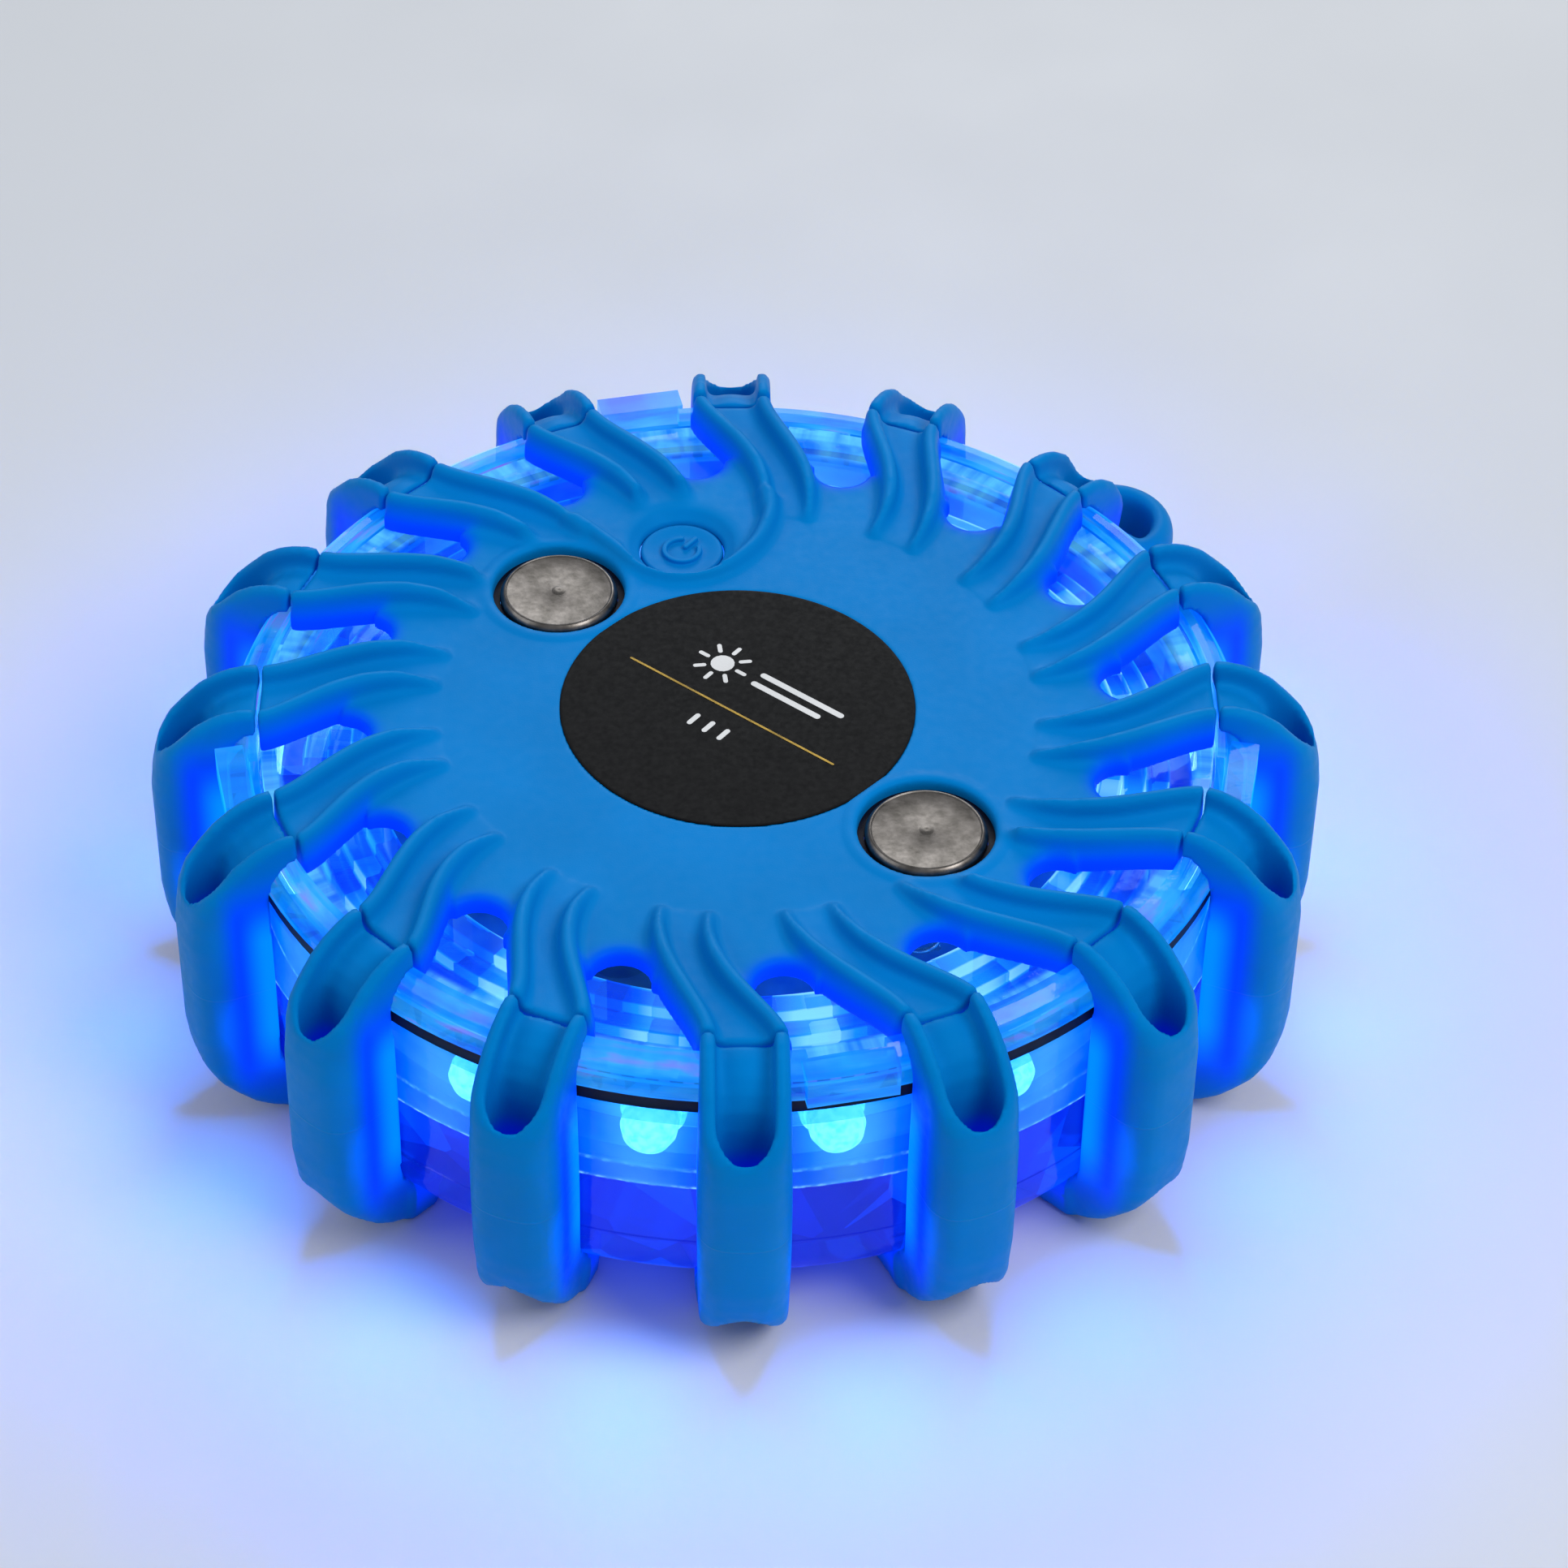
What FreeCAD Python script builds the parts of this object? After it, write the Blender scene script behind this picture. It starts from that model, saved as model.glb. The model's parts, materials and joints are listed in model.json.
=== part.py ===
"""Round rechargeable LED road flare: a clear puck in a ribbed rubber bumper.

Millimetres. The origin is at the bottom centre, +Z up through the cap.
The underside mirrors the top: sixteen finned posts run over both faces.
"""
import FreeCAD, Part
import math
import os
import Sketcher

Vector = FreeCAD.Vector
Rotation = FreeCAD.Rotation

doc = FreeCAD.newDocument("road_flare")

# ------------------------------------------------------------ driving sizes
sheet = doc.addObject("Spreadsheet::Sheet", "sheet")

SIZES = {
    # outside
    "outer_radius": 53.5,
    "overall_height": 33.0,
    "corner_radius": 9.8,
    "post_count": 16,
    "post_width": 7.8,
    "post_wall": 1.3,
    "rib_height": 2.3,
    "rib_width": 1.5,
    "skin_thickness": 1.9,
    "swirl_turn": 10.3,
    "swirl_ease": 0.8,
    "rib_inset": 0.15,
    "rib_tip_radius": 27.0,
    "rib_full_radius": 33.5,
    "window_tip_radius": 33.2,
    # scoops in the posts
    "scoop_floor_depth": 1.7,
    "scoop_inner_radius": 48.6,
    "scoop_outer_radius": 51.9,
    "scoop_depth": 15.5,
    "scoop_lip_depth": 8.4,
    # clear housing
    "lens_radius": 46.3,
    "lens_wall": 2.0,
    "lens_top": 25.6,
    "lens_floor": 2.0,
    "seal_height": 1.5,
    "seam_radius": 43.3,
    "seam_clearance": 0.3,
    "ring_ledge": 26.6,
    "ring_skirt_drop": 4.6,
    "ring_rim": 30.4,
    "fit_gap": 0.1,
    # cap
    "plate_lift": 0.2,
    "tab_reach": 0.7,
    "tab_width": 6.0,
    "tab_height": 0.8,
    "lug_width": 8.0,
    "lug_radius": 47.0,
    "label_radius": 16.1,
    "label_thickness": 0.5,
    "pad_radius": 5.5,
    "pad_ring": 23.2,
    "pad_turn": 135.0,
    "pad_well_radius": 6.15,
    "pad_height": 1.8,
    "pad_stem_radius": 2.0,
    # power button
    "button_radius": 3.9,
    "button_ring": 23.8,
    "button_turn": 102.0,
    "button_travel": 0.5,
    "button_drop": 0.8,
    "button_height": 1.9,
    "stem_radius": 2.0,
    # board and what stands on it
    "board_radius": 41.5,
    "board_bottom": 14.0,
    "board_thickness": 1.6,
    "led_radius": 2.5,
    "led_flange": 2.9,
    "led_back": 38.6,
    "led_length": 4.9,
    "reflector_radius": 38.3,
    "reflector_wall": 1.6,
    "reflector_height": 6.0,
    "prism_inner": 33.0,
    "prism_outer": 41.6,
    "prism_height": 4.9,
    "switch_size": 6.0,
    "switch_height": 3.5,
    "plunger_radius": 1.75,
    "plunger_length": 1.6,
    "plunger_reach": 1.0,
    "spring_radius": 1.5,
    "spring_wire": 0.3,
    "spring_pitch": 1.5,
    "pillar_ring": 34.0,
    "pillar_radius": 2.4,
    "screw_radius": 1.0,
    "screw_length": 8.5,
    "screw_head_radius": 2.0,
    "screw_head_height": 1.4,
    "capacitor_radius": 2.8,
    "capacitor_height": 8.0,
    "inductor_radius": 3.6,
    "inductor_height": 4.2,
    # battery
    "cell_length": 50.0,
    "cell_width": 34.0,
    "cell_height": 7.2,
    "tray_wall": 1.2,
    "tray_height": 5.0,
    "magnet_radius": 6.0,
    "magnet_height": 5.0,
    "magnet_ring": 26.0,
    # hanging eyelet and the shorter post behind it
    "eyelet_post_radius": 50.3,
    "eyelet_post_corner": 6.4,
    "eyelet_scoop_inner": 47.3,
    "eyelet_scoop_outer": 48.9,
    "eyelet_ring": 52.6,
    "eyelet_radius": 6.1,
    "eyelet_hole_radius": 3.7,
    "eyelet_low": 10.5,
    "eyelet_high": 22.5,
}

for row, (alias, size) in enumerate(SIZES.items(), start=1):
    sheet.set(f"A{row}", alias)
    sheet.set(f"B{row}", str(size))
    sheet.setAlias(f"B{row}", alias)
doc.recompute()


def size(alias):
    """One driving size, read from the sheet."""
    return float(sheet.get(alias))


PITCH = 360.0 / size("post_count")
LUG_TURNS = (-168.75, -78.75, -11.25, 101.25)
TOP_FACE = "sheet.overall_height - sheet.rib_height"
SKIN_BACK = TOP_FACE + " - sheet.skin_thickness"
PLATE_BOTTOM = "sheet.ring_ledge + sheet.plate_lift"
CAP_RADIUS = "sheet.seam_radius - sheet.seam_clearance / 2"
RING_BORE = "sheet.seam_radius + sheet.seam_clearance / 2"
BOARD_TOP = "sheet.board_bottom + sheet.board_thickness"
BASE_FACE = "sheet.rib_height + sheet.skin_thickness"
FLOOR_TOP = BASE_FACE + " + sheet.lens_floor"

nodes = []


def keep(item, label):
    """Give a finished sub-part its name and list it for writing."""
    item.Label = label
    nodes.append(item)
    return item


def bind(item, **expressions):
    """Bind an object's properties to expressions on the sheet."""
    for prop, expression in expressions.items():
        item.setExpression(prop, expression)
    return item


def value(expression):
    """The number that an expression on the sheet gives."""
    return float(sheet.evalExpression(expression))


# ------------------------------------------------------------ common makers
def profile_sketch(body, name, corners):
    """A closed outline on the body's XZ plane, each corner held by the sheet.

    A corner is (radius, height), both expressions; a radius of "0" lies on the axis.
    """
    plane = next(f for f in body.Origin.OriginFeatures if f.Role == "XZ_Plane")
    sketch = body.newObject("Sketcher::SketchObject", name)
    sketch.AttachmentSupport = [(plane, "")]
    sketch.MapMode = "FlatFace"
    points = [Vector(value(x), value(y), 0) for x, y in corners]
    for here, there in zip(points, points[1:] + points[:1]):
        sketch.addGeometry(Part.LineSegment(here, there), False)
    for i in range(len(points)):
        following = (i + 1) % len(points)
        sketch.addConstraint(Sketcher.Constraint("Coincident", i, 2, following, 1))
    for i, (x, y) in enumerate(corners):
        if x == "0":
            sketch.addConstraint(Sketcher.Constraint("PointOnObject", i, 1, -2))
        else:
            held = sketch.addConstraint(Sketcher.Constraint("DistanceX", -1, 1, i, 1, points[i].x))
            sketch.renameConstraint(held, f"radius_{i}")
            sketch.setExpression(f"Constraints.radius_{i}", x)
        if y == "0":
            sketch.addConstraint(Sketcher.Constraint("PointOnObject", i, 1, -1))
        else:
            held = sketch.addConstraint(Sketcher.Constraint("DistanceY", -1, 1, i, 1, points[i].y))
            sketch.renameConstraint(held, f"height_{i}")
            sketch.setExpression(f"Constraints.height_{i}", y)
    return sketch


def turned(name, corners):
    """A body turned about +Z from an outline of (radius, height) corners."""
    body = doc.addObject("PartDesign::Body", name)
    sketch = profile_sketch(body, name + "_outline", corners)
    turn = body.newObject("PartDesign::Revolution", name + "_turn")
    turn.Profile = sketch
    turn.ReferenceAxis = (sketch, ["V_Axis"])
    turn.Angle = 360
    body.Tip = turn
    doc.recompute()
    return body


def cylinder(name, radius, height, x="0", y="0", z="0"):
    """An upright cylinder whose centre line and foot are expressions."""
    item = doc.addObject("Part::Cylinder", name)
    bind(item, Radius=radius, Height=height)
    place(item, x, y, z)
    return item


def block(name, length, width, height, x, y, z):
    """An upright box centred on x, y with its foot at z."""
    item = doc.addObject("Part::Box", name)
    bind(item, Length=length, Width=width, Height=height)
    place(item, f"{x} - ({length}) / 2", f"{y} - ({width}) / 2", z)
    return item


def place(item, x, y, z):
    """Hold an object's place by expressions."""
    item.setExpression("Placement.Base.x", x)
    item.setExpression("Placement.Base.y", y)
    item.setExpression("Placement.Base.z", z)


def shaped(name, shape):
    """A free shape, for forms that sketches and primitives can't give."""
    item = doc.addObject("Part::Feature", name)
    item.Shape = shape
    return item


def fused(name, items):
    joined = doc.addObject("Part::MultiFuse", name)
    joined.Shapes = items
    joined.Refine = False
    doc.recompute()
    return joined


def cut(name, base, tool):
    result = doc.addObject("Part::Cut", name)
    result.Base = base
    result.Tool = tool
    result.Refine = False
    doc.recompute()
    return result


def polar(turn, radius, height=0.0):
    """The point at an angle in degrees and a radius."""
    angle = math.radians(turn)
    return Vector(radius * math.cos(angle), radius * math.sin(angle), height)


def polar_x(ring, turn):
    return f"{ring} * cos({turn} * 1deg)"


def polar_y(ring, turn):
    return f"{ring} * sin({turn} * 1deg)"


def around(shape, turns):
    """Copies of a shape turned about +Z by each angle."""
    copies = []
    for turn in turns:
        copy = shape.copy()
        copy.rotate(Vector(0, 0, 0), Vector(0, 0, 1), turn)
        copies.append(copy)
    return Part.makeCompound(copies)


POST_TURNS = [PITCH * i for i in range(int(size("post_count")))]
WINDOW_TURNS = [PITCH * (i + 0.5) for i in range(int(size("post_count")))]


# ------------------------------------------------------------ swirled fins
def swirl(radius):
    """How far, in degrees, the fins have swung clockwise at a radius."""
    span = size("seam_radius") - size("rib_tip_radius")
    part = min(1.0, max(0.0, (size("seam_radius") - radius) / span))
    return -size("swirl_turn") * (1 - math.cos(math.pi * part ** size("swirl_ease"))) / 2


def swirled_side(offsets):
    """A smooth curve through (radius, sideways offset) stations along the swirl."""
    points = [polar(swirl(r) + math.degrees(off / r), r) for r, off in offsets]
    curve = Part.BSplineCurve()
    curve.interpolate(points)
    return curve.toShape()


def swirled_strip(left, right, low, high):
    """An upright strip between two swirled sides, from one height to another."""
    edge_left = swirled_side(left)
    edge_right = swirled_side(right)
    inner = Part.LineSegment(edge_left.Vertexes[0].Point, edge_right.Vertexes[0].Point).toShape()
    outer = Part.LineSegment(edge_left.Vertexes[-1].Point, edge_right.Vertexes[-1].Point).toShape()
    face = Part.Face(Part.Wire([edge_left, outer, edge_right, inner]))
    face.translate(Vector(0, 0, low))
    return face.extrude(Vector(0, 0, high - low))


def stations(start, end, count=6):
    return [start + (end - start) * i / (count - 1) for i in range(count)]


def fin_half_width(radius):
    """Half the width of a fin at a radius: it narrows a little inwards."""
    span = size("seam_radius") - size("rib_tip_radius")
    inward = (size("seam_radius") - radius) / span
    return size("post_width") / 2 * (1 - 0.22 * inward)


def rib(side, low, high, outer):
    """One ridge of a fin: side is -1 or +1; it thins towards its inner tip."""
    left = []
    right = []
    for r in stations(size("rib_tip_radius"), outer):
        grown = min(1.0, (r - size("rib_tip_radius")) / 5.0)
        width = size("rib_width") * (0.25 + 0.75 * grown)
        outside = fin_half_width(r) - size("rib_inset")
        left.append((r, side * outside))
        right.append((r, side * (outside - width)))
    return swirled_strip(left, right, low, high)


def window(low, high, outer):
    """The opening between two fins, round at its inner end."""
    tip = size("window_tip_radius")
    half_pitch = math.radians(PITCH / 2)
    left = []
    right = []
    for r in stations(tip + 3.0, outer):
        half = r * half_pitch - fin_half_width(r)
        left.append((r, -half))
        right.append((r, half))
    strip = swirled_strip(left, right, low, high)
    end_radius = tip + 3.0
    half = end_radius * half_pitch - fin_half_width(end_radius)
    centre = polar(swirl(end_radius), end_radius, low)
    round_end = Part.makeCylinder(half, high - low, centre)
    return strip.fuse(round_end)


def rib_envelope():
    """The turned space the top ridges fill: it slopes down to their inner tips."""
    root = value(TOP_FACE) - 0.5
    crest = size("overall_height")
    outline = Part.makePolygon([
        Vector(size("rib_tip_radius") - 1, 0, root),
        Vector(size("seam_radius") + 1, 0, root),
        Vector(size("seam_radius") + 1, 0, crest),
        Vector(size("rib_full_radius"), 0, crest - 0.3),
        Vector(size("rib_tip_radius") - 1, 0, root + 0.7),
        Vector(size("rib_tip_radius") - 1, 0, root),
    ])
    return Part.Face(outline).revolve(Vector(0, 0, 0), Vector(0, 0, 1), 360)


def top_ribs(outer):
    """Both ridges of every fin, for the upper face."""
    pair = [rib(side, value(TOP_FACE) - 0.2, size("overall_height"), outer) for side in (-1, 1)]
    envelope = rib_envelope()
    return around(Part.makeCompound([ridge.common(envelope) for ridge in pair]), POST_TURNS)


def upside_down(shape):
    """The same shape on the opposite face of the puck."""
    return shape.mirror(Vector(0, 0, size("overall_height") / 2), Vector(0, 0, 1))


# ------------------------------------------------------------ rubber bumper
def make_post(name, reach, corner, hollow_start, hollow_end):
    """One post: an upright block round at both outer corners, with a scoop at each end."""
    body = doc.addObject("PartDesign::Body", name)
    ring_clear = "sheet.fit_gap * 2"
    outline = profile_sketch(body, name + "_outline", [
        ("sheet.seam_radius - 1.5", "0"),
        (reach, "0"),
        (reach, "sheet.overall_height"),
        ("sheet.seam_radius + sheet.seam_clearance", "sheet.overall_height"),
        ("sheet.seam_radius + sheet.seam_clearance", f"sheet.ring_rim + {ring_clear}"),
        (f"sheet.seam_radius + 0.9 + {ring_clear}", f"sheet.ring_rim + {ring_clear}"),
        (f"sheet.lens_radius + {ring_clear}", f"sheet.ring_rim - 2.4 + {ring_clear}"),
        (f"sheet.lens_radius + {ring_clear}", BASE_FACE + " + 3.0"),
        ("sheet.lens_radius - 3.0", BASE_FACE),
        ("sheet.seam_radius - 1.5", BASE_FACE),
    ])
    pad = body.newObject("PartDesign::Pad", name + "_pad")
    pad.Profile = outline
    pad.SideType = "Symmetric"
    pad.setExpression("Length", "sheet.post_width")
    body.Tip = pad
    doc.recompute()
    corners = []
    for i, edge in enumerate(pad.Shape.Edges, start=1):
        middle = edge.CenterOfMass
        at_an_end = min(abs(middle.z), abs(middle.z - size("overall_height"))) < 1e-6
        if abs(middle.x - value(reach)) < 1e-6 and at_an_end:
            corners.append(f"Edge{i}")
    rounding = body.newObject("PartDesign::Fillet", name + "_rounding")
    rounding.Base = (pad, corners)
    rounding.setExpression("Radius", corner)
    body.Tip = rounding
    doc.recompute()
    for end in ("top", "bottom"):
        scoop = profile_sketch(body, f"{name}_{end}_scoop_outline",
                               scoop_outline(end, reach, hollow_start, hollow_end))
        pocket = body.newObject("PartDesign::Pocket", f"{name}_{end}_scoop")
        pocket.Profile = scoop
        pocket.SideType = "Symmetric"
        pocket.setExpression("Length", "sheet.post_width - 2 * sheet.post_wall")
        before = rounding.Shape.Volume
        body.Tip = pocket
        doc.recompute()
        if body.Shape.Volume > before - 1.0:
            raise ValueError(f"the {end} scoop cut nothing")
    return body


def scoop_outline(end, reach, hollow_start, hollow_end):
    """The scoop: a floor from the seam, a drop behind a lip, and a deep pocket."""
    depths = [
        ("sheet.seam_radius", "sheet.scoop_floor_depth"),
        (f"({hollow_start} + sheet.seam_radius) / 2", "sheet.scoop_floor_depth + 0.5"),
        (hollow_start, "sheet.scoop_floor_depth + 3.6"),
        (hollow_start, "sheet.scoop_depth"),
        (hollow_end, "sheet.scoop_depth"),
        (hollow_end, "sheet.scoop_lip_depth"),
        (f"{reach} + 1.5", "sheet.scoop_lip_depth - 4.0"),
        (f"{reach} + 1.5", "0 - 1.0"),
        ("sheet.seam_radius", "0 - 1.0"),
    ]
    if end == "top":
        return [(r, f"sheet.overall_height - ({d})") for r, d in depths]
    return [(r, d) for r, d in depths]


post = make_post("post", "sheet.outer_radius", "sheet.corner_radius",
                 "sheet.scoop_inner_radius", "sheet.scoop_outer_radius")
short_post = make_post("short_post", "sheet.eyelet_post_radius", "sheet.eyelet_post_corner",
                       "sheet.eyelet_scoop_inner", "sheet.eyelet_scoop_outer")
EYELET_POST = 2
full_turns = [turn for i, turn in enumerate(POST_TURNS) if i != EYELET_POST]
base_skin = cylinder("base_skin", "sheet.lens_radius - 3.0", "sheet.skin_thickness", z="sheet.rib_height")
posts = shaped("posts", around(post.Shape, full_turns))
eyelet_post = shaped("eyelet_post", around(short_post.Shape, [POST_TURNS[EYELET_POST]]))

base_ribs = shaped("base_ribs", upside_down(top_ribs(size("seam_radius") - 0.5)))

base_windows = shaped("base_windows", around(
    window(-1.0, value(BASE_FACE) + 1.0, size("lens_radius") + 2.0), WINDOW_TURNS))


def make_eyelet():
    """The hanging eyelet: a round-ended tab behind the short post, with a D-shaped slot."""
    ring = size("eyelet_ring")
    low = size("eyelet_low")
    tall = size("eyelet_high") - low
    outside = size("eyelet_radius")
    inside = size("eyelet_hole_radius")
    root = size("eyelet_post_radius") - 0.8
    round_end = Part.makeCylinder(outside, tall, Vector(ring, 0, low))
    beyond = Part.makeBox(outside + 1, 4 * outside, tall, Vector(ring, -2 * outside, low))
    shank = Part.makeBox(ring - root, 2 * outside, tall, Vector(root, -outside, low))
    slot = Part.makeCylinder(inside, tall + 2, Vector(ring, 0, low - 1))
    slot = slot.common(Part.makeBox(inside + 1, 4 * inside, tall + 2, Vector(ring, -2 * inside, low - 1)))
    tab = round_end.common(beyond).fuse(shank).cut(slot)
    tab.rotate(Vector(0, 0, 0), Vector(0, 0, 1), POST_TURNS[EYELET_POST])
    return tab


eyelet = shaped("eyelet", make_eyelet())
rubber = fused("rubber_blank", [base_skin, posts, eyelet_post, base_ribs])
rubber_open = cut("rubber_open", rubber, base_windows)
keep(fused("bumper_whole", [rubber_open, eyelet]), "bumper")

# ------------------------------------------------------------ clear housing
PILLAR_TURNS = (45.0, 135.0, 225.0, 315.0)

lens_pot = turned("lens_pot", [
    ("0", BASE_FACE),
    ("sheet.lens_radius - 3.0", BASE_FACE),
    ("sheet.lens_radius", BASE_FACE + " + 3.0"),
    ("sheet.lens_radius", "sheet.lens_top"),
    ("sheet.lens_radius - sheet.lens_wall", "sheet.lens_top"),
    ("sheet.lens_radius - sheet.lens_wall", FLOOR_TOP + " + 1.5"),
    ("sheet.lens_radius - sheet.lens_wall - 1.5", FLOOR_TOP),
    ("0", FLOOR_TOP),
])
pillars = []
pillar_bores = []
for i, turn in enumerate(PILLAR_TURNS, start=1):
    x = polar_x("sheet.pillar_ring", turn)
    y = polar_y("sheet.pillar_ring", turn)
    height = f"sheet.board_bottom - ({FLOOR_TOP}) + 0.5"
    pillars.append(cylinder(f"pillar_{i}", "sheet.pillar_radius", height, x, y, FLOOR_TOP + " - 0.5"))
    pillar_bores.append(cylinder(f"pillar_bore_{i}", "sheet.screw_radius", "sheet.screw_length - 0.5", x, y,
                                 "sheet.board_bottom - sheet.screw_length + 0.5"))
lens_solid = fused("lens_solid", [lens_pot] + pillars)
keep(cut("lens_bored", lens_solid, fused("pillar_bores", pillar_bores)), "lower_lens")

keep(turned("seal_ring_body", [
    ("sheet.lens_radius - sheet.lens_wall + 0.3", "sheet.lens_top"),
    ("sheet.lens_radius - 0.3", "sheet.lens_top"),
    ("sheet.lens_radius - 0.3", "sheet.lens_top + sheet.seal_height"),
    ("sheet.lens_radius - sheet.lens_wall + 0.3", "sheet.lens_top + sheet.seal_height"),
]), "seal_ring")

SKIRT_OUTER = "sheet.lens_radius - sheet.lens_wall - sheet.fit_gap"
RING_FOOT = "sheet.lens_top + sheet.seal_height"
ring_turned = turned("ring_turned", [
    ("sheet.seam_radius - 1.5", "sheet.ring_ledge - sheet.ring_skirt_drop"),
    (SKIRT_OUTER, "sheet.ring_ledge - sheet.ring_skirt_drop"),
    (SKIRT_OUTER, RING_FOOT),
    ("sheet.lens_radius - 0.1", RING_FOOT),
    ("sheet.lens_radius - 0.1", "sheet.ring_rim - 2.4"),
    ("sheet.seam_radius + 1.9", "sheet.ring_rim - 0.8"),
    ("sheet.seam_radius + 0.9", "sheet.ring_rim"),
    (RING_BORE, "sheet.ring_rim"),
    (RING_BORE, "sheet.ring_rim - 1.6"),
    ("sheet.seam_radius + 0.9", "sheet.ring_rim - 1.6"),
    ("sheet.seam_radius + 0.9", "sheet.ring_ledge + 0.7"),
    (RING_BORE, "sheet.ring_ledge + 0.7"),
    (RING_BORE, "sheet.ring_ledge"),
    ("sheet.seam_radius - 0.3", "sheet.ring_ledge"),
    ("sheet.seam_radius - 0.3", "sheet.ring_ledge - 0.8"),
    ("sheet.seam_radius - 1.1", "sheet.ring_ledge - 0.8"),
    ("sheet.seam_radius - 1.1", "sheet.ring_ledge"),
    ("sheet.seam_radius - 1.5", "sheet.ring_ledge"),
])


def radial_block(name, width, low, high, inner, outer, turn):
    """A box that stands across a ray from the axis."""
    item = doc.addObject("Part::Box", name)
    bind(item, Length=f"({outer}) - ({inner})", Width=width, Height=f"({high}) - ({low})")
    item.Placement.Rotation = Rotation(Vector(0, 0, 1), turn)
    item.setExpression("Placement.Base.x", f"({inner}) * cos({turn}deg) + ({width}) / 2 * sin({turn}deg)")
    item.setExpression("Placement.Base.y", f"({inner}) * sin({turn}deg) - ({width}) / 2 * cos({turn}deg)")
    item.setExpression("Placement.Base.z", low)
    return item


lugs = []
notches = []
for i, turn in enumerate(LUG_TURNS, start=1):
    lugs.append(radial_block(
        f"lug_{i}", "sheet.lug_width", RING_FOOT, "sheet.ring_rim",
        "sheet.seam_radius + 1.2", "sheet.lug_radius", turn))
    notches.append(radial_block(
        f"notch_{i}", "sheet.tab_width + 0.8", "sheet.ring_rim - 1.7", "sheet.ring_rim + 1.0",
        "sheet.seam_radius - 0.5", "sheet.seam_radius + 0.95", turn))
ring_lugged = fused("ring_lugged", [ring_turned] + lugs)
keep(cut("ring_notched", ring_lugged, fused("ring_notches", notches)), "shoulder_ring")

keep(turned("cap_seal_body", [
    ("sheet.seam_radius - 1.1", "sheet.ring_ledge - 0.8"),
    ("sheet.seam_radius - 0.3", "sheet.ring_ledge - 0.8"),
    ("sheet.seam_radius - 0.3", "sheet.ring_ledge + 0.1"),
    ("sheet.seam_radius - 1.1", "sheet.ring_ledge + 0.1"),
]), "cap_seal")

# ------------------------------------------------------------ board and lamps
board_blank = cylinder("board_blank", "sheet.board_radius", "sheet.board_thickness", z="sheet.board_bottom")
board_holes = [
    cylinder(f"board_hole_{i}", "sheet.screw_radius + sheet.fit_gap", "sheet.board_thickness + 2",
             polar_x("sheet.pillar_ring", turn), polar_y("sheet.pillar_ring", turn), "sheet.board_bottom - 1")
    for i, turn in enumerate(PILLAR_TURNS, start=1)
]
keep(cut("board_drilled", board_blank, fused("board_holes", board_holes)), "circuit_board")

screws = []
for i, turn in enumerate(PILLAR_TURNS, start=1):
    x = polar_x("sheet.pillar_ring", turn)
    y = polar_y("sheet.pillar_ring", turn)
    shank = cylinder(f"screw_shank_{i}", "sheet.screw_radius", "sheet.screw_length", x, y,
                     BOARD_TOP + " - sheet.screw_length")
    head = cylinder(f"screw_head_{i}", "sheet.screw_head_radius", "sheet.screw_head_height", x, y, BOARD_TOP)
    screws.append(fused(f"screw_{i}", [shank, head]))
screw_group = doc.addObject("Part::Compound", "screw_group")
screw_group.Links = screws
doc.recompute()
keep(screw_group, "board_screws")


def make_led(number, turn):
    """A domed lamp lying on the board's rim, pointing outwards."""
    body = doc.addObject("PartDesign::Body", f"led_body_{number:02d}")
    outline = profile_sketch(body, f"led_outline_{number:02d}", [
        ("0", "0"),
        ("sheet.led_flange", "0"),
        ("sheet.led_flange", "1.0"),
        ("sheet.led_radius", "1.0"),
        ("sheet.led_radius", "sheet.led_length - 1.8"),
        ("sheet.led_radius * 0.82", "sheet.led_length - 0.7"),
        ("sheet.led_radius * 0.45", "sheet.led_length"),
        ("0", "sheet.led_length"),
    ])
    turn_feature = body.newObject("PartDesign::Revolution", f"led_turn_{number:02d}")
    turn_feature.Profile = outline
    turn_feature.ReferenceAxis = (outline, ["V_Axis"])
    turn_feature.Angle = 360
    body.Tip = turn_feature
    outwards = Rotation(Vector(0, 0, 1), turn) * Rotation(Vector(0, 1, 0), 90)
    body.Placement.Rotation = outwards
    place(body, polar_x("sheet.led_back", turn), polar_y("sheet.led_back", turn),
          BOARD_TOP + " + sheet.led_flange")
    return body


for number, turn in enumerate(WINDOW_TURNS, start=1):
    keep(make_led(number, turn), f"led_{number:02d}")
doc.recompute()

keep(turned("reflector_body", [
    ("sheet.reflector_radius - sheet.reflector_wall", BOARD_TOP),
    ("sheet.reflector_radius", BOARD_TOP),
    ("sheet.reflector_radius", BOARD_TOP + " + sheet.reflector_height"),
    ("sheet.reflector_radius - sheet.reflector_wall - 4.0", BOARD_TOP + " + sheet.reflector_height"),
    ("sheet.reflector_radius - sheet.reflector_wall - 4.0", BOARD_TOP + " + sheet.reflector_height - 1.2"),
    ("sheet.reflector_radius - sheet.reflector_wall", BOARD_TOP + " + sheet.reflector_height - 1.2"),
]), "led_reflector")

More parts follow.
